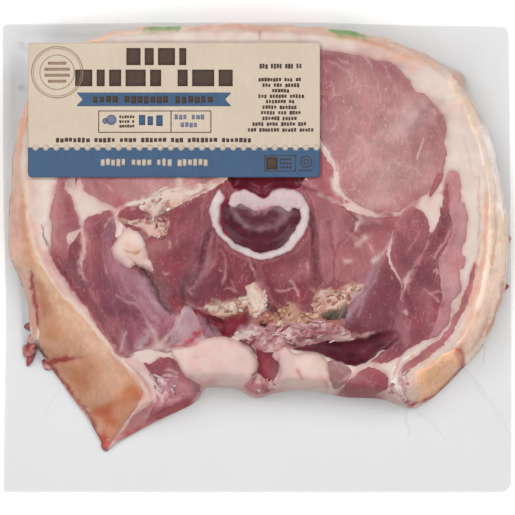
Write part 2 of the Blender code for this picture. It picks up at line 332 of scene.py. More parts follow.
# Skin and rind: colour, height over the fat bed in mm, outline.
SKIN = {
    "rind_left": ((238, 188, 164), 0.3, [
        13, 262, 10, 240, 11, 200, 14, 160, 18, 133, 28, 102, 40, 82, 46, 88, 34, 108,
        26, 135, 23, 155, 23, 178, 25, 195, 28, 215, 31, 232, 36, 250, 42, 262, 36, 264,
        26, 268]),
    "rind_top": ((254, 212, 186), 0.3, [
        76, 50, 93, 41, 120, 31, 165, 27, 210, 25.5, 255, 25.5, 300, 27, 345, 31, 385, 40,
        420, 53, 441, 66, 436, 68, 424, 62, 405, 52, 385, 46, 360, 40, 330, 35, 300, 32.5,
        255, 31, 210, 31, 165, 33, 120, 37, 96, 46, 82, 54]),
    # rind_right is painted brighter than white: painted light that lifts the shade on its sloping
    # side
    "rind_right": ((272, 250, 232), 0.35, [
        467, 92, 480, 117, 492, 145, 498, 175, 505, 210, 507, 240, 506, 270, 503, 292,
        493, 322, 482, 347, 470, 360, 463, 362, 461, 350, 452, 347, 462, 335, 470, 318,
        476, 300, 481, 280, 485, 255, 487, 225, 486, 195, 482, 165, 474, 135, 462, 110]),
    "flap_skin_left": (TAN_SKIN, 0.5, [
        35, 262, 41, 264, 47, 273, 54, 284, 62, 294, 72, 303, 80, 312, 88, 321, 96, 331,
        103, 341, 109, 349, 117, 358, 127, 368, 135, 377, 141, 387, 142, 393, 138, 400,
        133, 409, 126, 419, 120, 429, 115, 437, 111, 444, 107, 447, 104, 445, 101, 437,
        95, 425, 88, 412, 81, 403, 71, 392, 60, 378, 52, 367, 46, 358, 40, 348, 38, 338,
        38, 322, 37, 305, 34, 290, 33, 275]),
    "flap_edge_left": ((214, 172, 152), 0.2, [
        12, 258, 20, 262, 28, 266, 33, 270, 32, 285, 35, 300, 37, 320, 37, 340, 33, 335,
        30, 320, 28, 302, 24, 288, 18, 274]),
    # flap_skin_right is painted brighter than white: painted light that lifts the shade on its
    # slope
    "flap_skin_right": ((268, 211, 172), 0.6, [
        414, 373, 425, 366, 436, 359, 446, 352, 455, 347.5, 461, 349, 464, 355, 462, 362,
        455, 369, 448, 380, 440, 389, 431, 397, 421, 402, 412, 402, 407, 394, 409, 382]),
}

# The muscles: colour, height over the fat bed in mm, turn of the grain, outline.
MUSCLES = {
    "loin_eye_right": ((192, 143, 141), 0.45, 70, [
        300, 50, 320, 50.5, 344, 53, 356, 55, 368, 58, 380, 60.5, 391, 64, 400, 71, 408, 79,
        414, 90, 424, 94, 431, 101, 438, 109, 443.5, 119, 445.5, 128, 443.5, 142, 446.5, 153,
        444, 166, 441, 174, 437, 175, 433, 183, 427, 193, 420, 198, 412, 202, 405, 208,
        398, 212, 385, 213, 372, 211, 360, 208, 351, 201, 344, 195, 340, 186, 338, 176,
        333, 163, 326, 150, 321, 143, 312, 120, 300, 90]),
    "loin_strip_right": ((160, 96, 104), 0.35, 60, [
        435, 172, 443, 172.5, 442.5, 180, 438, 188, 433, 195, 428, 196.5, 430, 187]),
    "loin_pocket_right": ((176, 102, 110), 0.2, 40, [
        300, 130, 314, 138, 321, 148, 327, 157, 332, 166, 335, 176, 337, 190, 344, 197,
        350, 203, 343, 205, 334, 201, 322, 194, 313, 190, 306, 178]),
    "loin_left": ((186, 130, 130), 0.4, 80, [
        66, 120, 62, 160, 80, 176, 84, 190, 92, 196, 101, 201, 111, 206, 118, 209, 126, 203,
        138, 201, 150, 199, 157, 193, 165, 188, 180, 194, 190, 192, 200, 188, 209, 183,
        222, 172, 226, 140, 215, 80, 150, 58, 90, 75]),
    "outer_muscle_left": ((174, 114, 118), 0.4, 85, [
        60, 160, 58.5, 172, 58, 184, 56, 192, 53, 200, 51, 210, 50.5, 216, 52.5, 226,
        52.5, 238, 51.5, 246, 51, 252, 56, 259, 63, 264, 69, 263, 70.5, 252, 69.5, 241,
        69.5, 234, 74, 231.5, 80, 229, 81.5, 225, 79.5, 220, 77, 211, 74, 201, 70.5, 192,
        67, 187, 68, 180, 72, 176, 72, 160]),
    "neck_muscle_left": ((140, 74, 84), 0.25, 85, [
        75, 170, 79, 178, 78, 185, 76, 188, 75, 182]),
    "flank_muscle_left": ((126, 66, 74), 0.3, 55, [
        82, 231, 84, 244, 83.5, 256, 82, 264, 83.5, 275, 87.5, 285, 93.5, 296, 101.5, 309,
        109.5, 323, 116.5, 336, 121.5, 346, 123, 357, 115, 351, 107, 339, 97, 324, 88, 311,
        80, 299, 72, 287, 64, 277, 56, 266, 51, 256, 51, 250, 57, 259, 64, 264, 67.5, 261,
        67.5, 252, 70, 245, 75, 239]),
    "middle_muscle_left": ((154, 88, 96), 0.4, 85, [
        85, 219, 92, 215.5, 100, 213, 109, 210, 115, 212, 112, 219, 106, 226, 104, 238,
        104, 252, 106, 268, 110, 282, 113, 298, 117, 314, 122, 330, 127, 345, 130, 356,
        124, 358, 119, 350, 113, 336, 105, 322, 97, 308, 90, 296, 85, 285, 83.5, 276,
        82, 266, 85, 252, 84, 238, 83.5, 228]),
    "inner_muscle_left": ((149, 94, 108), 0.5, 75, [
        116, 215, 119, 224, 118, 234, 113, 242, 112, 252, 117, 263, 125, 268.5, 136, 268.5,
        142, 273, 151, 283, 159, 295, 170, 307, 181, 318, 187, 330, 182, 344, 168, 352,
        152, 349, 140, 344, 133, 356, 127, 352, 121, 334, 116, 312, 111, 290, 106, 268,
        103, 250, 104, 234, 108, 222]),
    "lower_loin_left": ((138, 65, 74), 0.35, 30, [
        128, 205, 138, 205, 148, 206, 152, 214, 158, 218, 168, 211, 176, 203, 184, 206,
        192, 199, 202, 195, 212, 190, 214, 198, 208, 208, 204, 222, 203, 238, 199, 255,
        193, 270, 186, 283, 183, 296, 186, 306, 178, 312, 168, 303, 160, 290, 155, 275,
        154, 262, 150, 248, 146, 238, 140, 230, 133, 226, 126, 218, 122, 210]),
    "tenderloin_left": ((110, 40, 52), 0.4, 80, [
        206, 236, 214, 231, 222, 243, 232, 251, 244, 257, 256, 261, 259, 270, 258, 280,
        252, 290, 244, 297, 232, 302, 218, 304, 204, 306, 193, 303, 186, 297, 186, 287,
        194, 276, 201, 262, 204, 248]),
    "tenderloin_right": ((122, 50, 61), 0.4, 100, [
        262, 262, 274, 260, 288, 254, 300, 246, 308, 234, 313, 222, 317, 232, 317, 250,
        320, 268, 325, 282, 318, 289, 311, 301, 301, 306, 292, 303, 282, 307, 274, 303,
        268, 295, 264, 285, 262, 274]),
    "side_muscle_right": ((164, 102, 107), 0.3, 95, [
        305, 191, 313, 187, 324, 193, 334, 200, 343, 206, 350, 213, 354, 221, 350, 231,
        343, 239, 336, 248, 334, 262, 334, 278, 328, 286, 322, 276, 319, 258, 318, 238,
        314, 218, 311, 204]),
    "upper_flank_right": ((164, 102, 107), 0.35, 20, [
        350, 212, 360, 215, 374, 218, 388, 218, 399, 216, 394, 228, 390, 240, 387, 252,
        384, 264, 374, 272, 362, 277, 348, 281, 338, 283, 333, 274, 334, 256, 338, 246,
        346, 238, 352, 230]),
    "lower_flank_right": ((125, 61, 72), 0.3, 60, [
        362, 279, 374, 273, 385, 265, 391, 268, 399, 278, 401, 292, 398, 306, 392, 322,
        386, 332, 374, 336, 360, 338, 349, 338, 343, 330, 346, 314, 356, 300, 364, 290]),
    "middle_muscle_right": ((146, 84, 91), 0.45, 110, [
        401, 214, 409, 208, 417, 209, 423, 214, 427, 222, 428, 231, 424, 242, 418, 253,
        411, 264, 406, 274, 402, 284, 398, 276, 391, 264, 390, 250, 391, 236, 395, 224]),
    "lower_muscle_right": ((142, 76, 85), 0.4, 120, [
        401, 302, 405, 290, 409, 278, 415, 268, 422, 257, 428, 251, 436, 250, 442, 246,
        447, 250, 450, 262, 450, 276, 449, 290, 447, 302, 445, 316, 440, 328, 428, 338,
        418, 344, 408, 349, 401, 356, 392, 361, 380, 364, 369, 362, 378, 354, 387, 346,
        391, 338, 397, 322]),
    "inner_muscle_right": ((134, 72, 80), 0.35, 115, [
        440, 206, 444, 210, 448.5, 219, 449, 228, 444, 238, 438, 247, 431, 249.5, 429, 243,
        433, 232, 438, 221]),
    "outer_muscle_right": ((196, 144, 147), 0.46, 100, [
        444.5, 180, 446, 174, 450, 171, 456, 171.5, 459.5, 176, 460, 190, 460, 202,
        463.5, 203, 465, 207, 467.5, 211, 468, 220, 467, 230, 465.5, 240, 462, 248, 461, 254,
        464, 257, 465, 262, 463, 268, 459, 270, 459.5, 276, 460.5, 286, 459, 293, 452.5, 301,
        449.5, 306, 450.5, 312, 447.5, 322, 440.5, 331, 433, 337, 427, 336, 432, 322,
        436, 308, 438, 296, 438, 284, 435, 272, 435, 262, 439, 252, 445, 244, 449.5, 234,
        451, 224, 448, 212, 443.5, 202, 442.5, 190]),
    "belly_streak_right": ((182, 112, 115), 0.2, 120, [
        475, 262, 474.5, 276, 472, 290, 468, 302, 463, 313, 458, 324, 451, 335, 444, 344,
        434, 352, 424, 360, 414, 368, 408, 374, 400, 375, 402, 366, 410, 358, 420, 350,
        431, 342, 441, 333, 448, 323, 454, 311, 459.5, 299, 464, 288, 468, 276, 471, 265]),
    "belly_muscle_right": ((152, 84, 91), 0.4, 10, [
        344, 393.5, 345, 382, 352, 376, 361, 369, 368, 366, 376, 368, 384, 372, 389, 377,
        388, 385, 382, 391, 370, 395.5, 356, 396]),
    "belly_muscle_left": ((138, 68, 78), 0.35, 150, [
        143, 362, 152, 362, 160, 358, 168, 355, 176, 358, 182, 368, 190, 378, 200, 384,
        201, 390, 194, 400, 184, 407, 170, 412, 158, 417, 150, 418, 152, 408, 160, 398,
        160, 388, 154, 378, 148, 370]),
}

# Fat that stands out as lumps, lobes and curls.
FAT = {
    "nodule_left": ((235, 213, 202), 1.6, [
        124, 230.5, 130, 229, 136, 230.5, 142, 235, 146, 242, 148.5, 250, 150, 258, 153, 265,
        154, 270, 149, 271, 142, 267.5, 136, 265, 131, 267.5, 124, 266, 118, 262, 113.5, 255,
        112, 248, 115, 242, 120, 236]),
    "nodule_tail": ((236, 214, 209), 0.9, [
        116, 215, 120, 219, 125, 225, 127, 230, 123, 236, 117, 237, 115, 230, 114.5, 221]),
    "curl_left": ((216, 184, 172), 1.0, [
        131, 225, 139, 221.5, 148, 221, 155, 223, 160, 228, 163, 233, 164, 239, 159, 239,
        153, 236, 149, 238.5, 145, 233, 139, 228]),
    "lump_left": ((222, 196, 182), 1.1, [
        148, 208, 153, 204, 158, 200, 158, 194, 163, 191, 170, 190, 178, 189, 184, 191,
        189, 196, 184, 203, 176, 202, 169, 202, 165, 206, 163, 212, 157, 216.5, 151, 216]),
    "lump_right_low": ((218, 184, 172), 0.9, [
        316, 300, 319, 292, 325, 288.5, 333, 290, 342, 291, 350, 288, 358, 285, 362, 290,
        357, 297, 350, 302, 343, 308, 335, 312, 326, 314, 318, 311]),
    "lobe_left": ((233, 204, 197), 1.8, [
        172, 351, 184, 346.5, 195, 342, 205, 338, 214, 335.5, 223, 336, 233, 339, 243, 344,
        251, 351, 257, 359, 257, 368, 253, 376, 248, 383, 238, 386.5, 222, 387, 206, 386,
        194, 381, 185, 375, 180, 367, 176, 359]),
    "lobe_right": ((230, 202, 194), 1.7, [
        279, 351, 284, 347.5, 290, 349, 294, 353.5, 303, 353, 312, 352, 321, 355.5,
        327.5, 362, 329, 372, 328, 381, 322, 387, 308, 389, 292, 388.5, 278, 389, 272, 386,
        277, 379, 280, 369, 279, 360]),
    "lobe_right_cap": ((212, 180, 184), 1.4, [
        272, 354, 277, 349, 283, 347, 288, 350, 288, 357, 282, 362, 276, 360]),
    "pink_bit": ((208, 140, 140), 1.0, [
        244, 381, 252, 378.5, 260, 380, 266, 386, 265, 392, 258, 395, 250, 393, 245, 388]),
    "fat_blob_middle": ((229, 205, 190), 1.2, [
        250, 299, 256, 295, 262, 292, 264, 298, 262, 306, 260, 313, 255, 315, 250, 310,
        248, 304]),
    "fat_branch_right": ((251, 247, 238), 0.9, [
        389, 374, 391, 366, 397, 359, 404, 355, 411, 353.5, 409, 359, 403, 366, 399, 373,
        400, 382, 405, 391, 410, 399, 404, 400, 396, 393, 391, 384]),
    "flap_fat_right": ((234, 206, 200), 0.8, [
        405, 382, 410, 375, 416, 373, 418, 380, 418, 390, 420, 399, 413, 403, 406, 398,
        403, 390]),
    "fold_fat_left": ((232, 205, 194), 0.8, [
        110, 345, 118, 355, 127, 365, 138, 374, 146, 382, 151, 391, 152, 401, 147, 408,
        140, 411, 134, 416, 128, 424, 122, 432, 118, 436, 122, 426, 128, 417, 135, 407,
        141, 397, 142, 390, 137, 380, 128, 370, 118, 361, 109, 351]),
    "fold_fat_inner": ((222, 188, 182), 0.9, [
        124, 358, 132, 358, 142, 361, 148, 370, 155, 379, 161, 389, 163, 398, 156, 404,
        150, 400, 149, 390, 143, 380, 134, 370, 126, 363]),
    "corner_nub": ((232, 208, 196), 0.8, [
        446, 71, 452, 69.5, 458, 73, 463, 79, 464.5, 87, 462, 90, 457, 85, 452, 78]),
}

# The cut backbone: colour, height over the bed in mm, outline.
BONE = {
    "spinal_canal": ((102, 26, 40), 0.5, [
        231, 170, 300, 170, 303, 184, 298, 190, 288, 189, 276, 190, 268, 195, 261, 199,
        254, 195, 247, 191, 238, 190, 232, 188]),
    "bone_core": ((90, 40, 52), 0.5, [
        223, 205, 221, 214, 221, 223, 226, 235, 234, 243, 246, 249, 259, 253, 272, 251,
        284, 244, 293, 234, 299, 222, 300, 210, 296, 202, 280, 200, 262, 205, 240, 199,
        230, 198]),
    "heart_inside": ((106, 60, 72), 0.7, [
        231, 207, 236, 216, 244, 222, 252, 226.5, 260, 228.5, 268, 227.5, 276, 224, 284, 218,
        291, 211, 288, 206, 274, 204, 260, 208, 245, 204, 236, 204]),
    "bone_ring": (BONE_WHITE, 1.2, [
        219.5, 190.5, 222, 193, 225, 199, 223, 204, 220.5, 211, 220, 219, 222, 228, 227, 236,
        233, 241, 240, 245, 249, 249, 258, 252.3, 267, 252, 276, 248.5, 285, 243, 292, 235,
        297.5, 226, 300, 217, 300, 209, 297, 203, 301, 196, 305, 201, 308, 208, 309.5, 217,
        307.5, 226, 303, 235, 296, 244, 288, 251, 278, 256.5, 266, 259.8, 256, 259,
        246, 255.5, 236, 250.5, 228, 245, 220, 236.5, 214, 229, 210.5, 221, 209.5, 213,
        211, 205, 215, 196]),
    "bone_plate": ((218, 193, 194), 1.3, [
        228, 206, 229, 198, 233, 193, 240, 190.5, 248, 191, 255, 195.5, 261, 199, 267, 196,
        274, 191.5, 284, 189.5, 294, 190.5, 302, 196, 305, 204, 300, 209, 294, 208, 289, 213,
        282, 208.5, 274, 207, 268, 210, 260, 212, 252, 210.5, 245, 206.5, 238, 205, 233, 209]),
}

# Where the whole cut face dips: depth and width of the slope in mm, outline.
HOLLOWS = {
    "cavity": (2.4, 3.0, [
        284, 341, 300, 336, 320, 335, 340, 339, 356, 338, 372, 333, 386, 329, 398, 330,
        400, 338, 392, 347, 380, 354, 368, 364, 352, 367, 338, 363, 324, 357, 306, 353,
        290, 349]),
    "red_gap": (1.8, 2.5, [
        208, 314, 222, 315, 238, 313, 249, 309, 252, 318, 247, 330, 240, 337, 226, 337,
        216, 332, 206, 324]),
    "middle_gap": (1.6, 2.5, [
        256, 346, 268, 350, 280, 352, 280, 368, 276, 378, 270, 385, 262, 384, 256, 378,
        258, 366, 257, 356]),
    "canal": (1.8, 2.0, [
        231, 150, 300, 150, 303, 184, 298, 189, 288, 188, 276, 189, 268, 194, 261, 198,
        254, 194, 247, 190, 238, 189, 232, 187]),
    "marrow": (0.5, 1.5, [
        224, 205, 222, 214, 222, 223, 227, 235, 235, 242, 246, 248, 259, 252, 272, 250,
        284, 243, 292, 234, 298, 222, 298, 208, 280, 206, 262, 211, 240, 206, 230, 206]),
    "vessel": (1.5, 1.0, [259, 322, 263, 320, 267, 323, 266, 328, 261, 328]),
    "pocket": (1.2, 1.5, [264, 304, 270, 302, 277, 306, 276, 314, 268, 316]),
}

# Wet tissue along the belly edge: colour, height over the bed in mm, outline.
TISSUE = {
    "base_right": ((142, 80, 88), 0.14, [
        399, 216, 408, 209, 418, 211, 425, 219, 430, 233, 436, 221, 441, 206, 442, 190,
        446, 176, 455, 176, 457, 195, 462, 208, 464, 220, 462, 240, 458, 252, 458, 266,
        456, 282, 453, 294, 448, 304, 446, 318, 438, 330, 426, 338, 412, 347, 398, 355,
        390, 348, 386, 332, 392, 312, 398, 292, 400, 276, 392, 262, 390, 246, 393, 228]),
    "base_left": ((132, 70, 78), 0.14, [
        51, 240, 60, 250, 68, 246, 76, 256, 82, 274, 92, 294, 104, 318, 118, 344, 118, 356,
        104, 338, 88, 312, 72, 288, 58, 270]),
    "inner_tissue": ((140, 74, 82), 0.14, [
        116, 214, 128, 206, 150, 207, 164, 200, 186, 200, 206, 192, 220, 184, 232, 178,
        300, 178, 318, 190, 340, 202, 356, 212, 386, 216, 398, 216, 392, 232, 388, 250,
        392, 268, 402, 288, 400, 312, 392, 334, 372, 340, 340, 340, 300, 344, 262, 344,
        244, 342, 228, 334, 206, 338, 190, 342, 160, 348, 134, 352, 122, 338, 112, 300,
        104, 262, 104, 236]),
    "cavity": ((66, 24, 35), 0.3, [
        286, 340, 300, 336, 320, 334, 340, 340, 356, 338, 372, 332, 386, 330, 395, 333,
        398, 341, 390, 348, 380, 352, 368, 362, 352, 366, 338, 362, 324, 356, 306, 352,
        290, 348]),
    "red_gap": ((128, 42, 56), 0.3, [
        206, 312, 222, 314, 238, 312, 248, 308, 250, 316, 246, 328, 240, 336, 226, 338,
        218, 332, 208, 326, 196, 318, 190, 308, 196, 304]),
    "middle_gap": ((124, 46, 58), 0.3, [
        256, 346, 268, 350, 280, 352, 280, 368, 276, 378, 270, 385, 262, 384, 256, 378,
        257, 366, 256, 356]),
    "orange_tissue": ((168, 106, 95), 0.5, [
        252, 312, 262, 316, 268, 300, 276, 306, 286, 308, 294, 303, 302, 310, 314, 312,
        328, 312, 344, 318, 346, 328, 332, 332, 312, 330, 292, 330, 272, 334, 258, 336,
        250, 326]),
    "strands": ((176, 124, 126), 0.5, [
        244, 336, 262, 330, 284, 326, 306, 326, 328, 326, 346, 330, 346, 338, 330, 338,
        316, 344, 300, 348, 284, 350, 268, 352, 256, 348]),
    "membrane_left": ((186, 152, 160), 0.5, [
        172, 318, 182, 308, 192, 306, 198, 318, 204, 332, 206, 340, 192, 344, 178, 348,
        166, 350, 166, 338]),
    "membrane_middle": ((150, 102, 116), 0.3, [
        196, 306, 208, 316, 218, 326, 224, 336, 214, 338, 206, 340, 200, 326, 194, 314]),
    "membrane_low_left": ((166, 118, 130), 0.7, [
        152, 376, 160, 380, 170, 376, 180, 380, 190, 388, 184, 396, 172, 402, 162, 404,
        160, 394, 156, 386]),
    "membrane_right": ((158, 120, 118), 0.5, [
        327, 362, 336, 360, 346, 364, 352, 370, 347, 380, 342, 386, 334, 388, 329, 380]),
}

# Scraps of torn tissue: how many, least and most half length and half width in mm, turn
# and its spread in degrees, height over the cut face in mm, colours, and the patch.
SCRAPS = {
    "torn_fat_left": (20, (0.99, 2.6), (0.495, 1.215), 10, 40, 0.5, [
        (228, 202, 182), (236, 218, 204), (208, 162, 140), (216, 184, 160), (176, 104, 98)], [
        204, 306, 214, 304, 228, 304, 240, 298, 247, 294, 250, 300, 246, 308, 236, 314,
        222, 318, 212, 316, 207, 311]),
    "torn_fat_middle": (14, (0.77, 2.08), (0.55, 1.35), 80, 60, 0.8, [
        (232, 212, 200), (226, 196, 180), (208, 162, 148), (220, 186, 166)], [
        246, 288, 255, 282, 261, 287, 267, 296, 266, 306, 262, 314, 254, 318, 248, 312,
        246, 300]),
    "torn_fat_orange": (21, (0.88, 2.47), (0.44, 1.215), 20, 60, 0.6, [
        (212, 168, 132), (188, 132, 104), (226, 198, 168), (166, 104, 88),
        (140, 78, 72), (200, 152, 114)], [
        264, 316, 276, 313, 284, 306, 291, 300, 297, 307, 304, 312, 316, 308, 322, 312,
        317, 321, 300, 323, 284, 325, 268, 325]),
    "torn_fat_right": (26, (0.88, 2.6), (0.55, 1.35), 25, 45, 0.8, [
        (205, 160, 137), (220, 183, 166), (183, 120, 103), (193, 135, 117),
        (202, 150, 134), (175, 107, 94)], [
        312, 301, 317, 291, 327, 286, 336, 289, 349, 282, 361, 283, 366, 290, 356, 298,
        346, 306, 334, 312, 322, 314, 313, 310]),
    "dark_scraps": (9, (0.55, 1.56), (0.33, 0.945), 0, 90, 1.1, [
        (66, 50, 46), (92, 78, 66), (50, 38, 38), (128, 104, 86)], [
        322, 313, 334, 309, 345, 307, 348, 313, 340, 319, 328, 321]),
    "pink_strands": (50, (1.1, 3.9), (0.242, 0.7425), 10, 35, 0.6, [
        (204, 148, 150), (224, 186, 184), (170, 98, 106), (234, 210, 204),
        (142, 58, 70), (196, 126, 134)], [
        244, 331, 256, 323, 270, 325, 290, 323, 310, 321, 330, 322, 348, 330, 350, 338,
        336, 342, 322, 343, 306, 347, 290, 345, 278, 350, 266, 352, 255, 345, 247, 338]),
    "white_curl": (7, (0.88, 2.34), (0.44, 1.08), 30, 40, 0.9, [
        (232, 208, 202), (238, 220, 214), (210, 168, 168)], [
        232, 335, 240, 330, 248, 328, 256, 326, 253, 334, 244, 340, 236, 342]),
    "scraps_by_nodule": (19, (0.55, 1.82), (0.385, 0.945), 15, 60, 0.6, [
        (224, 194, 176), (196, 148, 128), (120, 58, 62), (236, 214, 198),
        (146, 84, 78)], [
        118, 217, 132, 221, 150, 217, 166, 222, 168, 234, 160, 240, 152, 236, 141, 227,
        126, 226]),
    "scraps_under_loin": (23, (0.66, 2.08), (0.385, 1.08), 12, 50, 0.7, [
        (230, 204, 186), (212, 170, 148), (238, 218, 206), (186, 118, 116)], [
        140, 204, 156, 196, 168, 189, 188, 187, 206, 183, 210, 188, 192, 198, 178, 206,
        162, 215, 150, 213]),
    "scraps_between_lobes": (10, (0.55, 1.95), (0.33, 0.945), 0, 90, 0.6, [
        (216, 156, 156), (182, 84, 94), (232, 202, 196), (150, 52, 64)], [
        244, 377, 256, 372, 268, 378, 276, 386, 268, 393, 252, 393]),
    "folded_membrane": (14, (0.99, 3.38), (0.275, 0.81), -45, 30, 0.6, [
        (188, 146, 156), (228, 206, 200), (156, 92, 104), (206, 166, 170)], [
        150, 374, 162, 377, 178, 386, 184, 396, 168, 404, 156, 404, 154, 390]),
    "scraps_right_flap": (12, (0.88, 2.6), (0.33, 0.81), 60, 30, 0.5, [
        (222, 188, 180), (204, 150, 150), (234, 208, 198), (180, 108, 112)], [
        390, 378, 400, 372, 408, 378, 408, 392, 412, 402, 400, 400, 390, 392]),
}

# Small knobs at the outline: height in mm, colour, outline.
KNOBS = {
    "knob_left_upper": (4.0, (178, 74, 88), [
        36, 322, 31, 321, 25, 323.5, 23.5, 327, 27, 330, 33, 331, 37, 330]),
    "knob_left_pale": (4.0, (224, 186, 174), [
        35, 334, 29, 335, 26, 340, 28, 345, 34, 346, 38, 341]),
    "knob_left_middle": (4.5, (206, 128, 118), [
        37, 344, 30, 343, 24, 347, 22.5, 354, 26, 359, 32, 356, 37, 350]),
    "knob_left_tip": (3.0, (184, 62, 72), [
        36, 351, 32, 354, 27, 358, 25, 363, 27, 367, 30, 364, 33, 359]),
    "knob_left_lower": (3.5, (172, 56, 70), [
        42, 361, 46, 358, 52, 360, 55, 366, 50, 370, 44, 367]),
    "knob_right_upper": (3.0, (214, 150, 116), [
        504, 233, 508, 235, 511, 239, 508, 244, 504, 246]),
    "knob_right_lower": (3.5, (184, 74, 68), [
        500, 281, 503, 280, 507, 284, 509, 287, 504, 290, 500, 290]),
    "knob_flap_right": (3.0, (184, 72, 76), [
        406, 402, 411, 400, 416, 403, 414, 408, 409, 408.5]),
    "knob_flap_left": (3.0, (178, 62, 60), [
        102, 440, 107, 437, 112, 441, 111, 448, 107, 451, 103, 448]),
}

# Where the fat bed isn't plain fat: width in mm, colour, strength, points.
BED_TINTS = [
    (6, (222, 184, 170), 0.3, [300, 30, 345, 34, 385, 44, 420, 60]),
    (5, (228, 170, 146), 0.55, [380, 57, 392, 60, 404, 58]),
    (3, (226, 176, 158), 0.5, [409, 70, 414, 72]),
    (4, (226, 178, 164), 0.5, [446, 110, 457, 105, 469, 118, 476, 132]),
    (5, (216, 168, 156), 0.8, [32, 180, 35, 205, 38, 232]),
    (6, (238, 226, 214), 0.8, [47, 180, 45, 205, 46, 238]),
    (5, (214, 150, 148), 0.5, [40, 246, 54, 268, 76, 296, 104, 330, 132, 365]),
    (4, (220, 180, 172), 0.2, [76, 192, 88, 204, 104, 210]),
    (4, (214, 172, 168), 0.25, [424, 205, 434, 200, 436, 215]),
    (12, (196, 132, 136), 0.8, [150, 395, 170, 402, 190, 396]),
    (7, (196, 112, 118), 1.1, [124, 430, 140, 410, 160, 405]),
    (5, (152, 66, 76), 1.2, [342, 393, 360, 396, 380, 397]),
    (4, (206, 160, 154), 0.8, [388, 396, 400, 401]),
    (7, (208, 150, 148), 0.8, [244, 388, 262, 396, 276, 390]),
]
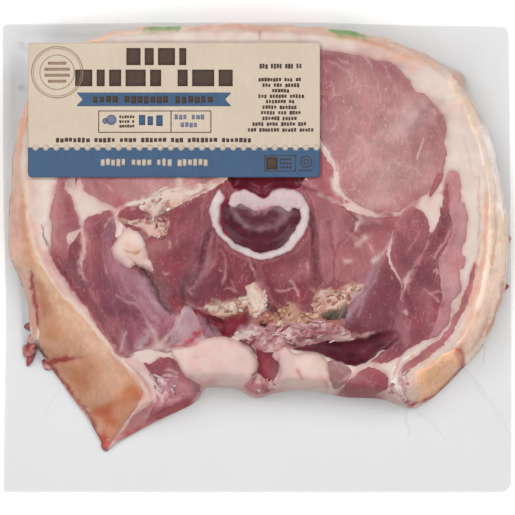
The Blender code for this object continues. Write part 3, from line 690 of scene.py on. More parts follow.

# Marks over every piece of the chop, mostly seams, with two small pale painted highlights: width
# in mm, colour, strength, rise in mm, points.
SEAMS_AND_GLINTS = [
    (1.0, (220, 176, 170), 0.9, 0.3, [318, 195, 328, 199, 336, 202, 344, 205]),
    (1.6, (226, 194, 184), 0.9, 0.4, [344, 203, 351, 207, 358, 211, 366, 213, 376, 215]),
    (0.8, SEAM_FAT, 0.6, 0.2, [376, 214, 386, 212, 393, 214]),
    (1.0, WHITE_FAT, 0.85, 0.3, [320, 143, 327, 152, 333, 162, 336.5, 171, 336, 179,
        335, 187, 338, 194, 343, 199]),
    (1.9, WHITE_FAT, 0.9, 0.3, [335, 180, 335.5, 191]),
    (1.4, WHITE_FAT, 0.95, 0.4, [127, 204, 134, 203.5, 142, 202, 152, 200, 160, 197]),
    (2.0, WHITE_FAT, 0.95, 0.4, [158, 195, 166, 195, 174, 195, 182, 194]),
    (1.2, WHITE_FAT, 0.9, 0.3, [182, 194, 190, 193, 198, 191, 204, 187]),
    (1.9, (234, 218, 200), 0.95, 0.4, [180, 176, 179, 186, 179, 194, 182, 200]),
    (2.2, (230, 208, 192), 0.95, 0.6, [160, 198, 159, 205, 154, 211, 152, 214]),
    (1.0, (222, 184, 172), 0.8, 0.3, [163, 204, 166, 209]),
    (0.7, (206, 160, 158), 0.8, 0.3, [131, 209, 137, 208.5]),
    (0.8, (228, 188, 182), 0.9, 0.5, [167, 218, 169.5, 220.5, 168.5, 224, 164, 229]),
    (1.3, (228, 184, 178), 0.85, 0.3, [113, 211, 117, 218, 118, 228]),
    (0.7, (226, 176, 172), 0.8, 0.2, [109, 206, 114, 211, 113, 216, 109, 219]),
    (1.0, (222, 180, 174), 0.95, 0.3, [83, 232, 83.5, 246, 82, 256, 81.5, 266, 83.5, 277]),
    (0.8, SEAM_FAT, 0.6, 0.1, [86, 232, 86, 246]),
    (1.4, (216, 184, 180), 0.85, 0.3, [149, 322, 154, 332, 160, 342]),
    (2.2, (206, 184, 190), 0.9, 0.2, [150, 330, 146, 340, 138, 348]),
    (0.8, (214, 188, 188), 0.9, 0.3, [121, 352, 124, 340, 127, 332]),
    (1.6, (214, 196, 196), 0.8, 0.3, [176, 318, 180, 328, 178, 338, 166, 346]),
    (0.8, (196, 156, 168), 0.8, 0.2, [116, 296, 128, 302, 138, 306, 148, 320]),
    (0.8, (190, 148, 162), 0.8, 0.2, [138, 276, 144, 290, 156, 304, 168, 314]),
    (1.2, (226, 206, 204), 0.7, 0.2, [164, 338, 174, 330, 179, 322, 183, 310]),
    (2.2, (228, 214, 206), 0.9, 0.5, [132, 356, 148, 352, 160, 347, 168, 349]),
    (1.8, (232, 212, 202), 0.9, 0.5, [166, 350, 176, 349, 188, 349.5, 200, 345]),
    (1.4, (222, 190, 182), 0.8, 0.3, [166, 338, 160, 346]),
    (1.3, CREAM_FAT, 0.95, 0.5, [141, 373, 153, 383, 161, 394, 163, 401]),
    (0.6, (220, 186, 186), 0.8, 0.2, [166, 371, 172, 370, 178, 372]),
    (0.6, (220, 186, 186), 0.8, 0.2, [164, 376, 171, 375, 178, 377]),
    (0.6, (214, 180, 184), 0.8, 0.2, [164, 381, 168, 388, 173, 391]),
    (0.6, (214, 180, 184), 0.8, 0.2, [168, 398, 175, 400, 182, 398]),
    (1.8, (220, 182, 176), 0.85, 0.4, [391, 238, 388, 246, 383, 253]),
    (0.9, (210, 166, 164), 0.8, 0.2, [384, 252, 380, 256, 376, 260]),
    (1.7, (234, 212, 204), 0.95, 0.6, [374, 261.5, 377, 258.5]),
    (1.0, (232, 206, 202), 0.9, 0.4, [356, 217, 362, 221, 358, 224, 355, 230]),
    (1.6, (230, 200, 188), 0.95, 0.5, [359, 243, 362, 240, 366, 237]),
    (0.9, (204, 156, 152), 0.8, 0.3, [346, 233, 353, 237, 360, 239]),
    (1.2, (232, 202, 192), 0.95, 0.6, [346, 261, 348.5, 261]),
    (0.7, (212, 160, 156), 0.8, 0.2, [365, 242, 370, 247, 373, 252]),
    (1.0, (208, 138, 142), 0.85, 0.3, [428, 242, 421, 256, 414, 267]),
    (1.4, (228, 186, 180), 0.95, 0.4, [411, 270, 406, 281, 404, 287]),
    (0.8, (206, 150, 154), 0.8, 0.3, [403, 288, 400, 299]),
    (0.7, (218, 168, 168), 0.9, 0.2, [449, 231, 443, 243, 437, 250, 435, 258]),
    (0.7, (214, 162, 164), 0.8, 0.2, [423, 289, 431, 296, 438, 302]),
    (0.7, (214, 162, 164), 0.8, 0.2, [428, 294, 434, 292, 441, 292]),
    # painted highlight: a tiny pale glint on the wet muscle
    (0.7, (236, 206, 206), 0.9, 0.3, [404, 312, 406, 314]),
    (0.7, (220, 176, 176), 0.8, 0.2, [432, 272, 435, 270, 436, 274]),
    (1.2, (182, 144, 156), 0.6, 0.1, [376, 262, 368, 280, 357, 300, 348, 318]),
    (0.7, (196, 156, 166), 0.6, 0.1, [378, 266, 374, 282, 364, 296, 358, 318]),
    (1.6, (232, 204, 196), 0.9, 0.5, [334, 335, 344, 337, 352, 337.5]),
    (0.9, (222, 180, 172), 0.9, 0.4, [352, 337.5, 362, 335.5, 373, 332]),
    (0.7, SEAM_FAT, 0.7, 0.3, [332, 361, 340, 363, 348, 367]),
    (0.9, (214, 172, 170), 0.85, 0.4, [339, 381, 349, 376, 359, 369, 369, 364, 379, 367,
        388, 374]),
    (1.7, (226, 206, 184), 0.9, 0.5, [208, 306, 218, 304, 230, 304, 240, 300, 248, 296]),
    (1.3, (204, 136, 116), 0.8, 0.3, [212, 312, 224, 316, 238, 315, 248, 311]),
    (1.2, (232, 206, 190), 0.9, 0.5, [224, 310, 234, 309]),
    (2.4, (236, 218, 200), 0.95, 0.6, [258, 292, 255, 302, 257, 310]),
    (1.2, (214, 150, 144), 0.8, 0.4, [256, 284, 259, 290, 266, 297]),
    (2.0, (62, 28, 36), 1.4, -0.8, [268, 305, 273, 311]),
    (1.2, (30, 20, 20), 1.8, -0.8, [261, 324, 265, 324]),
    (1.1, (222, 178, 180), 0.85, 0.5, [272, 325, 284, 323, 298, 324]),
    (1.1, (226, 190, 192), 0.85, 0.5, [298, 326, 312, 322, 324, 322]),
    (1.4, (228, 206, 204), 0.9, 0.6, [234, 336, 240, 331, 250, 327, 256, 330]),
    (0.8, (120, 56, 64), 0.8, -0.4, [272, 329, 286, 327, 300, 329]),
    (1.4, (236, 214, 192), 0.9, 0.6, [330, 298, 342, 296, 352, 288, 362, 286]),
    (1.6, (232, 208, 180), 0.9, 0.5, [328, 308, 336, 304, 344, 300]),
    (1.2, (220, 200, 194), 0.9, 0.6, [320, 297, 323, 291, 328, 291]),
    (0.7, (192, 96, 84), 0.85, 0.0, [344, 292, 349, 293, 353, 290]),
    (0.7, (196, 104, 84), 0.85, 0.0, [320, 302, 325, 305, 322, 311]),
    (0.6, SEAM_FAT, 0.7, 0.15, [248, 257, 251, 266, 257, 276]),
    (0.7, (198, 132, 132), 0.7, 0.15, [221, 250, 225, 260, 226, 270, 222, 284]),
    (0.6, (216, 162, 158), 0.8, 0.15, [225, 289, 231, 288, 236, 292]),
    (0.6, (206, 150, 148), 0.7, 0.15, [231, 281, 234, 286]),
    (0.7, (224, 176, 170), 0.8, 0.2, [275, 290, 284, 290, 293, 287.5]),
    (0.8, (230, 186, 180), 0.85, 0.3, [289, 281, 293, 284, 295, 288, 297, 295]),
    (0.6, (220, 172, 168), 0.8, 0.2, [311, 288, 314, 292]),
    # painted highlight: a pale glint along a ridge
    (0.7, (214, 160, 160), 0.7, 0.2, [306, 262, 308, 271]),
    (0.6, (216, 166, 166), 0.8, 0.2, [164, 271, 166, 275, 169, 274]),
    (0.6, (214, 160, 162), 0.8, 0.2, [189, 290, 192, 293]),
    (0.6, (222, 176, 176), 0.8, 0.2, [169, 243, 170, 247]),
]

# Folds and creases, with the same columns; one of them is a painted shadow.
FOLDS = [
    # rind and fat on the right
    (1.6, (236, 178, 148), 1.2, -0.2, [485, 194, 485.5, 214, 485, 232, 482.5, 255, 479, 275,
        474, 292, 470, 306]),
    (0.6, (204, 150, 138), 0.7, -0.2, [477, 176, 478.5, 200, 478.5, 230, 476, 258, 473, 272]),
    (0.8, (168, 92, 96), 0.85, -0.3, [474, 266, 470, 278, 466.5, 292, 463, 304]),
    (1.0, (242, 192, 160), 1.0, -0.2, [493, 178, 494, 200, 494.5, 225, 493, 250, 490, 274]),
    (1.2, (240, 222, 200), 0.7, 0.2, [488.5, 160, 489, 195, 489, 225, 487, 250]),
    (0.5, (206, 166, 150), 0.5, 0.0, [462, 135, 469, 160, 473.5, 180]),
    (0.8, (204, 112, 92), 0.7, 0.0, [503, 276, 500, 296, 494, 316, 484, 337]),
    (1.2, (186, 74, 66), 0.6, 0.0, [486, 318, 481, 334, 472, 350]),
    (0.9, (190, 70, 62), 0.9, -0.2, [457, 350, 462, 352, 464, 358, 462, 364]),
    (0.8, (186, 66, 66), 1.2, 0.0, [463, 365, 452, 378, 440, 391, 428, 399, 414, 405]),
    # ridges and creases beside the backbone
    (1.2, (178, 112, 118), 0.85, 0.5, [207, 192, 204, 202, 202, 212, 201, 221]),
    (0.7, (118, 62, 68), 0.8, -0.4, [204, 194, 200, 206, 198, 218]),
    (1.1, (74, 34, 42), 1.5, -0.9, [209, 229, 206.5, 242, 203, 256, 199, 271]),
    (1.5, (166, 108, 116), 0.9, 0.6, [213.5, 234, 210, 250, 206, 264, 201, 279, 190, 289]),
    (0.7, (92, 50, 56), 0.85, -0.5, [216, 240, 213, 256, 209, 270, 204, 280]),
    (1.2, (176, 112, 118), 0.85, 0.5, [219, 238, 216, 252, 212, 265, 206, 277]),
    (1.0, (102, 46, 56), 0.8, -0.5, [221, 246, 222, 262, 220, 280]),
    (1.3, (172, 110, 116), 0.8, 0.6, [309, 228, 308.5, 250, 307, 276]),
    (1.1, (98, 46, 54), 1.4, -0.8, [311, 212, 314, 232, 315.5, 252, 316.5, 280]),
    (1.4, (186, 122, 128), 0.8, 0.5, [322, 222, 320, 244, 322, 270]),
    (0.9, (136, 62, 70), 0.85, -0.5, [328, 218, 330.5, 236, 332, 250]),
    (1.2, (192, 138, 142), 0.8, 0.4, [334, 222, 335, 236, 335, 248]),
    # on the left
    (1.4, (72, 36, 42), 1.4, -1.0, [137, 266, 143, 270, 150, 276, 154, 285, 158, 294,
        164, 304, 171, 312]),
    (1.6, (138, 36, 56), 1.5, -0.6, [174, 296, 176, 306, 178, 314, 176, 318]),
    (1.4, (86, 22, 36), 1.5, -0.7, [183.5, 286, 182.5, 296, 183.5, 304]),
    (0.7, (206, 160, 160), 0.7, 0.2, [186, 303, 194, 307, 206, 308]),
    (1.3, (84, 38, 48), 0.85, -0.6, [190, 307, 200, 312, 208, 322, 214, 332]),
    (0.5, (150, 84, 84), 1.2, -0.2, [42, 226, 47, 241, 51, 251]),
    (1.5, (128, 38, 50), 1.4, -0.6, [52, 254, 60, 265, 69, 278, 79, 291, 89, 305,
        100, 322, 112, 342, 121, 356]),
    (0.9, (222, 162, 150), 0.8, -0.2, [31, 214, 36, 235, 41, 250, 46, 262, 52, 274,
        60, 287, 72, 302]),
    (0.6, (206, 140, 138), 0.6, -0.2, [46, 256, 54, 268, 64, 282, 76, 296, 90, 312,
        104, 330, 118, 350, 132, 365]),
    (1.2, (238, 216, 198), 0.85, 0.3, [62, 292, 76, 307, 90, 321, 104, 338, 116, 353,
        128, 365, 140, 378, 147, 390]),
    (0.7, (188, 120, 120), 0.8, -0.3, [133, 370, 141, 379, 148, 388, 150, 398]),
    (0.6, (196, 130, 128), 0.7, -0.3, [136, 410, 146, 404, 152, 402]),
    (0.6, (196, 130, 128), 0.7, -0.3, [128, 420, 140, 413, 150, 408, 160, 406]),
    (1.5, (160, 40, 56), 1.5, -0.4, [44, 362, 52, 362, 60, 361, 72, 358.5]),
    (0.9, (184, 84, 86), 0.75, -0.3, [68, 359, 78, 357.5, 86, 357]),
    (1.0, (164, 44, 54), 1.6, -0.3, [32.5, 270, 33, 285, 34.5, 297, 37, 312, 38, 330]),
    (1.1, (150, 44, 52), 1.6, 0.0, [48, 362, 55, 372, 64, 384, 77, 400, 89, 417,
        98, 434, 103, 444]),
    # painted shadow: a dark grey line where the flap's corner falls into shade
    (1.6, (72, 58, 62), 1.7, -0.5, [36, 342, 41, 350, 47, 358]),
    # belly side
    (1.9, (164, 48, 68), 1.5, -0.3, [187, 342, 194, 338, 200, 332]),
    (0.9, (184, 66, 84), 1.3, -0.2, [168, 345, 184, 346, 198, 344]),
    (1.2, (80, 24, 36), 1.4, -0.6, [214, 320, 222, 322, 224, 332]),
    (1.2, (104, 32, 44), 1.3, -0.6, [240, 340, 250, 346, 258, 354]),
    (1.1, (92, 40, 46), 1.4, -0.6, [292, 344, 305, 349, 320, 350, 332, 357]),
    (0.9, (96, 40, 46), 0.85, -0.4, [258, 352, 260, 362, 257, 374, 251, 384]),
    (0.8, (186, 74, 82), 0.9, -0.4, [298, 368.5, 300, 374, 303, 378]),
    (0.5, (196, 166, 160), 0.7, -0.1, [188, 356, 196, 355.5]),
    (0.5, (198, 170, 164), 0.7, -0.1, [194, 369, 201, 368.5]),
    (0.8, (184, 132, 132), 0.6, -0.2, [396, 378, 398, 388, 403, 398]),
    (0.7, (176, 108, 112), 0.7, -0.2, [401, 357, 395, 368, 392, 378]),
    # nodule
    (0.7, (182, 106, 80), 0.95, -0.4, [125, 249.5, 130, 252, 136, 253, 142, 250.5]),
    (0.8, (136, 80, 64), 0.95, -0.5, [136.5, 262, 138, 266, 141, 269, 143, 272]),
    (0.6, (200, 130, 100), 0.8, -0.3, [128, 256, 133, 259, 136, 262]),
    (0.7, (138, 72, 70), 0.85, -0.4, [130, 227, 137, 228.5, 144, 231, 148, 236, 156, 239]),
    (0.8, (166, 106, 88), 0.75, -0.3, [126, 223, 124, 229, 124, 232.5]),
    # backbone
    (1.1, (138, 30, 50), 1.4, -0.3, [227, 190, 223.5, 204, 220.5, 218, 224, 230, 231, 239]),
    (1.5, (146, 108, 118), 1.0, 0.4, [231, 209, 236, 217, 243, 223, 252, 228, 260, 229.5,
        268, 228.5, 276, 225, 284, 219, 291, 211]),
    (1.2, (150, 44, 60), 0.8, -0.3, [216, 190, 222, 185, 230, 188]),
    (1.2, (204, 124, 130), 0.8, 0.2, [208, 182, 215, 183, 222, 181]),
    (1.3, (206, 150, 152), 0.8, 0.2, [300, 183, 308, 184, 315, 189]),
    (1.2, (112, 34, 48), 0.85, -0.4, [294, 182, 303, 187, 314, 192]),
    (0.8, (190, 96, 102), 0.8, -0.2, [318, 192, 330, 196, 340, 200]),
]

# Fine pale lines in the muscles.
VEINS = [
    (0.5, (214, 172, 172), 0.8, 0.1, [328, 62, 338, 66, 346, 74, 352, 76]),
    (0.4, (214, 172, 172), 0.8, 0.1, [336, 58, 342, 62, 352, 64]),
    (0.4, (214, 174, 174), 0.8, 0.1, [382, 64, 386, 72, 390, 80]),
    (0.4, (212, 170, 170), 0.7, 0.1, [322, 92, 334, 96, 344, 94]),
    (0.4, (212, 170, 170), 0.7, 0.1, [356, 96, 352, 108, 346, 116]),
    (0.5, (218, 180, 176), 0.7, 0.1, [352, 134, 362, 142, 366, 154, 362, 168]),
    (0.5, (218, 178, 176), 0.7, 0.1, [340, 164, 350, 160, 360, 150, 374, 144]),
    (0.4, (216, 176, 174), 0.7, 0.1, [392, 160, 402, 166, 412, 168, 422, 176]),
    (0.4, (216, 176, 174), 0.7, 0.1, [398, 180, 406, 184, 410, 192]),
    (0.4, (216, 176, 174), 0.7, 0.1, [346, 178, 354, 176, 362, 182]),
    (0.4, (214, 172, 172), 0.7, 0.1, [100, 182, 108, 186, 114, 194]),
    (0.4, (214, 172, 172), 0.6, 0.1, [146, 180, 152, 188, 150, 196]),
    (0.5, (226, 190, 188), 1.1, 0.15, [424, 138, 419, 148, 417, 160]),
    (0.5, (214, 176, 174), 0.9, 0.1, [378.5, 84, 379.5, 96, 379, 105]),
    (0.5, (214, 174, 174), 0.9, 0.1, [366, 57, 370, 65, 372, 72]),
    (0.5, (212, 172, 172), 0.8, 0.1, [345, 70, 351, 77, 352, 85]),
    (0.5, (210, 168, 170), 0.7, 0.1, [336, 113, 336, 125, 331, 132]),
    (0.5, (214, 172, 170), 0.8, 0.1, [349, 150, 346, 164, 341, 178]),
    (0.5, (210, 170, 168), 0.7, 0.1, [373, 116, 369, 126]),
    (0.5, (214, 172, 172), 0.8, 0.1, [330, 82, 334, 96, 330, 100]),
    (0.5, (220, 180, 176), 0.7, 0.1, [388, 168, 380, 178, 378, 192]),
    (0.5, (214, 170, 168), 0.7, 0.1, [352, 182, 358, 192, 368, 200]),
    (0.4, (200, 150, 152), 0.5, 0.1, [420, 228, 412, 244, 404, 258]),
    (0.4, (186, 136, 140), 0.5, 0.1, [93, 232, 90, 250, 92, 270]),
    (0.4, (176, 124, 130), 0.5, 0.1, [60, 205, 62, 225, 60, 245]),
    (0.4, (176, 124, 130), 0.5, 0.1, [180, 214, 176, 232, 180, 250]),
    (0.4, (190, 150, 160), 0.5, 0.1, [134, 276, 142, 292, 154, 306, 166, 322]),
    (0.4, (190, 150, 160), 0.5, 0.1, [120, 272, 128, 290, 144, 306, 160, 330]),
    (0.4, (184, 140, 150), 0.4, 0.1, [112, 262, 118, 284, 130, 308, 136, 330]),
]

# Soft patches of colour, some of them painted highlights and painted light on shaded slopes: width
# in mm, colour, strength, points.
STAINS_AND_PAINTED_LIGHT = [
    # right loin eye
    (6.0, (148, 92, 98), 0.9, [324, 58, 345, 60, 368, 64, 390, 72, 405, 86]),
    (6.0, (146, 82, 90), 0.8, [324, 60, 323, 95, 325, 130]),
    # painted highlight: the next two pale strokes lay a sheen band across the loin eye's middle
    (8.0, (216, 182, 178), 0.75, [423, 104, 404, 128, 380, 148, 364, 170]),
    (7.0, (218, 180, 175), 0.7, [385, 166, 382, 190, 372, 202]),
    (3.5, (144, 92, 98), 0.75, [432, 104, 439, 116, 442, 130]),
    (4.0, (148, 98, 102), 0.75, [424, 112, 416, 128, 414, 142, 416, 158]),
    (4.5, (158, 106, 108), 0.6, [432, 128, 434, 146, 436, 164]),
    (3.0, (178, 106, 110), 0.6, [400, 206, 414, 200, 428, 190]),
    (4.5, (172, 130, 130), 0.5, [388, 158, 404, 166, 420, 174]),
    (4.0, (188, 130, 136), 0.5, [330, 132, 336, 144, 338, 158]),
    (4.0, (174, 122, 124), 0.5, [352, 104, 362, 116, 372, 126]),
    (3.0, (196, 122, 126), 0.5, [346, 164, 352, 184, 366, 200]),
    # left loin
    (4.0, (166, 104, 108), 0.65, [112, 178, 110, 196, 116, 208]),
    (3.0, (188, 98, 106), 0.75, [116, 198, 122, 206, 128, 212]),
    (5.0, (202, 156, 152), 0.65, [136, 182, 156, 186, 172, 184, 196, 184]),
    (3.0, (196, 146, 144), 0.6, [128, 192, 146, 196]),
    (5.0, (174, 120, 124), 0.5, [84, 184, 96, 190, 106, 198]),
    # outer muscles on the left
    (3.0, (196, 140, 142), 1.0, [59, 184, 56, 204, 55, 226, 56, 244]),
    (3.0, (150, 80, 90), 1.0, [67, 198, 69, 208, 73, 220, 77, 227]),
    (2.0, (148, 94, 98), 0.7, [70, 180, 70, 184]),
    (3.0, (136, 68, 78), 0.9, [56, 254, 64, 258, 70, 262]),
    (3.5, (124, 64, 72), 0.5, [75, 250, 76, 261, 78, 272]),
    # middle muscle on the left
    (2.5, (128, 68, 80), 0.75, [100, 222, 101, 246, 101, 270]),
    (3.0, (174, 112, 116), 0.6, [89, 222, 88, 246, 90, 270]),
    (3.5, (150, 86, 94), 0.5, [92, 280, 100, 306, 110, 328]),
    # mauve muscle on the left
    (6.0, (112, 56, 72), 1.4, [108, 292, 112, 304, 122, 312, 135, 316]),
    (3.0, (130, 74, 88), 0.75, [105, 262, 105, 284, 108, 300]),
    (3.0, (174, 126, 140), 0.7, [111, 250, 113, 268, 126, 277]),
    # painted highlight: a pale streak along the mauve muscle
    (3.0, (176, 136, 152), 0.9, [141, 276, 150, 291, 160, 305, 168, 315]),
    (2.2, (190, 144, 156), 0.9, [126, 292, 140, 300, 148, 311, 158, 320]),
    (3.0, (150, 98, 112), 0.6, [118, 288, 130, 290, 138, 288]),
    (1.8, (116, 60, 74), 0.8, [127, 334, 132, 342, 134, 350]),
    (1.5, (182, 138, 156), 0.7, [124, 330, 123, 342, 126, 352]),
    (3.0, (176, 128, 140), 0.6, [152, 304, 164, 314, 176, 318]),
    (3.0, (112, 60, 74), 0.5, [138, 326, 146, 322]),
    # lower loin on the left
    (2.6, (106, 58, 64), 0.85, [160, 212, 166, 211, 167, 217, 163, 222]),
    (5.0, (130, 60, 72), 0.7, [188, 238, 184, 252, 178, 266]),
    (4.0, (164, 108, 112), 0.6, [196, 212, 186, 228, 174, 244]),
    (4.0, (126, 72, 76), 0.7, [158, 272, 163, 288, 170, 300]),
    (3.5, (184, 124, 124), 0.8, [149, 252, 153, 247, 159, 246, 166, 244]),
    (2.5, (150, 84, 92), 0.5, [136, 214, 146, 218]),
    (6.0, (134, 78, 92), 0.8, [112, 284, 122, 296, 132, 306]),
    (4.0, (176, 128, 142), 0.7, [118, 256, 124, 272, 138, 284]),
    # beside the backbone
    (3.5, (152, 98, 108), 0.75, [203, 224, 199, 240, 196, 256, 191, 272]),
    (2.4, (82, 38, 46), 0.95, [197, 276, 190, 279, 184, 286, 183, 296]),
    (6.0, (98, 46, 56), 0.85, [194, 297, 206, 294, 216, 284, 218, 300]),
    (5.0, (140, 74, 80), 0.6, [232, 262, 240, 274, 236, 290]),
    (5.0, (122, 60, 68), 0.6, [286, 292, 290, 298]),
    (4.5, (192, 124, 130), 0.6, [283, 270, 291, 279, 299, 272]),
    (3.5, (164, 100, 104), 0.7, [298, 250, 301, 260, 303, 270]),
    (4.0, (178, 120, 124), 0.7, [336, 210, 336, 222, 338, 232]),
    (6.0, (182, 118, 120), 0.7, [344, 257, 360, 264, 350, 274]),
    (3.0, (136, 74, 80), 0.75, [338, 246, 346, 244, 352, 241]),
    (4.0, (148, 86, 92), 0.5, [312, 282, 322, 290]),
    # upper flank on the right
    (3.0, (130, 70, 78), 0.8, [352, 218, 364, 228, 378, 227, 388, 229]),
    (1.5, (196, 132, 136), 0.8, [364, 214, 374, 218, 380, 224]),
    (2.5, (158, 62, 74), 0.9, [380, 212, 388, 215, 395, 219]),
    (3.0, (196, 124, 128), 0.8, [416, 202, 408, 210, 400, 220, 396, 230]),
    (3.0, (174, 118, 126), 0.5, [366, 250, 376, 256, 384, 248]),
    (4.0, (162, 124, 138), 0.7, [375, 264, 366, 284, 356, 300, 347, 318]),
    (4.0, (130, 74, 84), 0.45, [372, 318, 382, 306, 388, 290]),
    (4.0, (104, 46, 56), 1.0, [382, 332, 390, 338, 396, 344]),
    # right flank
    (3.5, (126, 70, 80), 0.75, [400, 246, 404, 258]),
    (4.5, (114, 58, 68), 0.85, [426, 256, 422, 270, 416, 284]),
    (2.5, (102, 46, 58), 0.85, [405, 292, 409, 302, 409, 316]),
    (3.0, (188, 134, 142), 0.8, [446, 306, 443, 320, 434, 332]),
    (2.5, (176, 116, 124), 0.8, [404, 324, 405, 334, 406, 344]),
    (3.0, (178, 118, 126), 0.75, [424, 296, 428, 306, 426, 316]),
    (2.5, (138, 66, 76), 0.8, [434, 302, 440, 306]),
    (4.0, (118, 58, 68), 0.7, [417, 312, 420, 322, 416, 332]),
    (4.0, (172, 110, 114), 0.6, [436, 262, 444, 258, 450, 262]),
    (2.5, (122, 60, 70), 0.8, [438, 236, 442, 230, 446, 222]),
    (3.5, (156, 94, 100), 0.6, [408, 218, 416, 226, 420, 238]),
    # outer muscle on the right
    (3.0, (196, 134, 136), 0.8, [452, 180, 453, 192, 454, 202]),
    (1.6, (156, 78, 88), 1.4, [445.5, 186, 445, 196, 446, 208]),
    (1.5, (180, 138, 134), 0.8, [460, 203, 463, 206]),
    (3.0, (204, 154, 156), 0.7, [462, 214, 462, 228, 460, 242]),
    (2.5, (184, 128, 132), 0.6, [453, 214, 454, 230, 450, 246]),
    (2.5, (208, 160, 160), 0.75, [450, 278, 456, 280, 452, 284]),
    # flap skin on the left
    (2.8, (200, 130, 98), 1.2, [41, 284, 42, 294, 43, 304]),
    (2.6, (204, 130, 112), 1.1, [41, 306, 45, 311]),
    (4.5, (196, 132, 90), 1.2, [54, 311, 57, 320, 56, 331]),
    (3.0, (218, 172, 136), 0.7, [64, 322, 72, 330, 66, 338]),
    # painted highlight: a pale cream band across the flap skin
    (4.0, (238, 202, 172), 0.7, [62, 308, 76, 318, 90, 328]),
    (4.0, (234, 198, 172), 0.8, [88, 338, 98, 346, 108, 358]),
    (3.0, (210, 154, 128), 0.7, [44, 348, 54, 352, 66, 352]),
    (5.5, (198, 134, 98), 0.9, [66, 367, 80, 371, 94, 365]),
    (4.5, (190, 120, 84), 1.0, [78, 376, 85, 388]),
    (4.5, (188, 106, 60), 1.4, [114, 404, 123, 399, 132, 393]),
    (4.5, (190, 96, 66), 1.3, [99, 412, 106, 415, 110, 421]),
    (3.0, (220, 158, 124), 0.8, [104, 426, 110, 431]),
    (2.6, (198, 74, 70), 1.3, [104, 438, 107, 446]),
    (3.0, (238, 206, 176), 0.7, [38, 268, 46, 280, 58, 296]),
    (2.0, (222, 178, 148), 1.2, [24, 263, 30, 266, 36, 268]),
    (1.5, (216, 170, 150), 1.2, [29, 300, 31, 318, 35, 338]),
    (4.0, (124, 58, 68), 0.5, [66, 266, 74, 262, 79, 276, 88, 294]),
    # rind
    (1.6, (240, 220, 194), 0.9, [25, 166, 26, 190, 29, 208, 32, 230, 36, 250, 41, 262]),
    (2.6, (226, 178, 144), 0.8, [22, 196, 23, 206]),
    (2.6, (208, 142, 120), 0.85, [21, 210, 23, 222, 27, 236]),
    (2.0, (212, 152, 144), 0.8, [16, 224, 18, 238]),
    (2.6, (214, 160, 124), 0.8, [28, 240, 31, 252, 33, 262]),
    (1.8, (240, 190, 162), 0.8, [345, 38, 370, 43.5, 390, 49, 405, 55, 424, 63, 438, 70]),
    (1.2, (214, 190, 120), 1.0, [332, 36.5, 346, 38.5, 358, 40]),
    (2.0, (236, 178, 152), 0.8, [396, 57, 403, 59.5]),
    (1.6, (222, 166, 148), 0.4, [411, 68, 420, 69]),
    # painted light: brighter than white, lifting the shade on the rind's sloping top right
    (3.0, (270, 238, 208), 0.9, [449, 78, 459, 96, 469, 114, 477, 134]),
    (1.6, (234, 172, 150), 0.8, [453, 76, 458, 81]),
    (3.0, (232, 202, 192), 0.7, [456, 112, 464, 122, 470, 134]),
    (2.4, (244, 216, 202), 0.6, [480, 160, 482, 180, 480, 190]),
    # painted light: the next three strokes are brighter than white, lifting the shade on the
    # rind's steep right side
    (3.0, (266, 234, 198), 1.0, [500, 222, 501, 240, 499, 262]),
    (3.2, (288, 280, 276), 1.1, [484, 126, 491, 152, 496, 180, 501, 210]),
    (2.4, (276, 248, 230), 0.8, [487, 206, 489, 220, 489, 234]),
    (3.5, (238, 176, 146), 0.9, [472, 314, 468, 330, 463, 344]),
    (2.4, (214, 150, 128), 0.6, [190, 29, 230, 28, 270, 28.5, 310, 31, 340, 34, 370, 41]),
    (1.6, (208, 140, 118), 0.7, [238, 28.5, 258, 29, 274, 29.5]),
    (1.6, (212, 146, 122), 0.6, [364, 41, 380, 44.5, 394, 49]),
    # painted light: brighter than white, lifting the shade on the rind's lower right slope
    (4.5, (268, 224, 196), 0.9, [497, 274, 492, 296, 484, 318, 472, 340]),
    (1.7, GREEN_INK, 1.2, [144, 30.5, 156, 29.5, 168, 28.5, 180, 28]),
    (1.5, GREEN_INK, 1.5, [330, 30.5, 342, 32.5, 354, 34.5, 364, 36.5]),
    (0.6, BLOOD, 0.8, [258.5, 32, 259, 39]),
    # flap skin on the right
    (4.0, (250, 196, 156), 0.5, [444, 362, 446, 372, 438, 382]),
    (4.5, (240, 182, 138), 0.9, [422, 388, 427, 378, 434, 370]),
    (3.0, (238, 208, 194), 1.0, [414, 375, 416, 388, 413, 399]),
    (2.5, (206, 104, 84), 1.0, [459, 351, 462, 361]),
    # lobes and lumps
    (2.2, (228, 184, 158), 0.85, [130, 247, 136, 250, 138, 258]),
    (3.5, (208, 186, 184), 0.7, [285, 360, 284, 374, 284, 384]),
    (4.0, (240, 224, 210), 0.7, [308, 360, 310, 374]),
    (2.0, (214, 142, 138), 0.8, [323, 380, 326, 386]),
    (1.5, (216, 142, 146), 0.8, [202, 383, 214, 381]),
    (2.0, (196, 90, 104), 0.85, [250, 386, 257, 390]),
    # belly edge
    (5.0, (176, 112, 122), 0.75, [176, 377, 188, 385, 194, 394]),
    (5.5, (240, 158, 166), 1.15, [165, 405, 178, 397, 190, 390]),
    (2.8, (166, 44, 60), 1.7, [150, 419, 162, 414, 176, 407, 190, 401]),
    (3.0, (162, 84, 92), 0.7, [264, 364, 272, 372]),
    (3.5, (132, 64, 74), 0.7, [372, 378, 382, 378]),
    (2.2, (150, 54, 66), 1.5, [345, 391, 358, 393.5, 374, 393]),
    (2.0, (192, 136, 140), 0.6, [350, 380, 362, 376, 372, 386]),
    (2.5, (204, 148, 148), 0.4, [401, 362, 398, 374]),
    (1.2, (180, 52, 60), 1.3, [407, 404, 411, 406, 415, 404]),
    (2.0, (196, 74, 84), 0.9, [116, 440, 136, 430, 154, 420]),
    (1.0, (186, 44, 44), 0.8, [412, 355, 413, 356]),
    # backbone
    (1.4, (170, 136, 142), 0.8, [236, 207, 246, 207, 256, 213]),
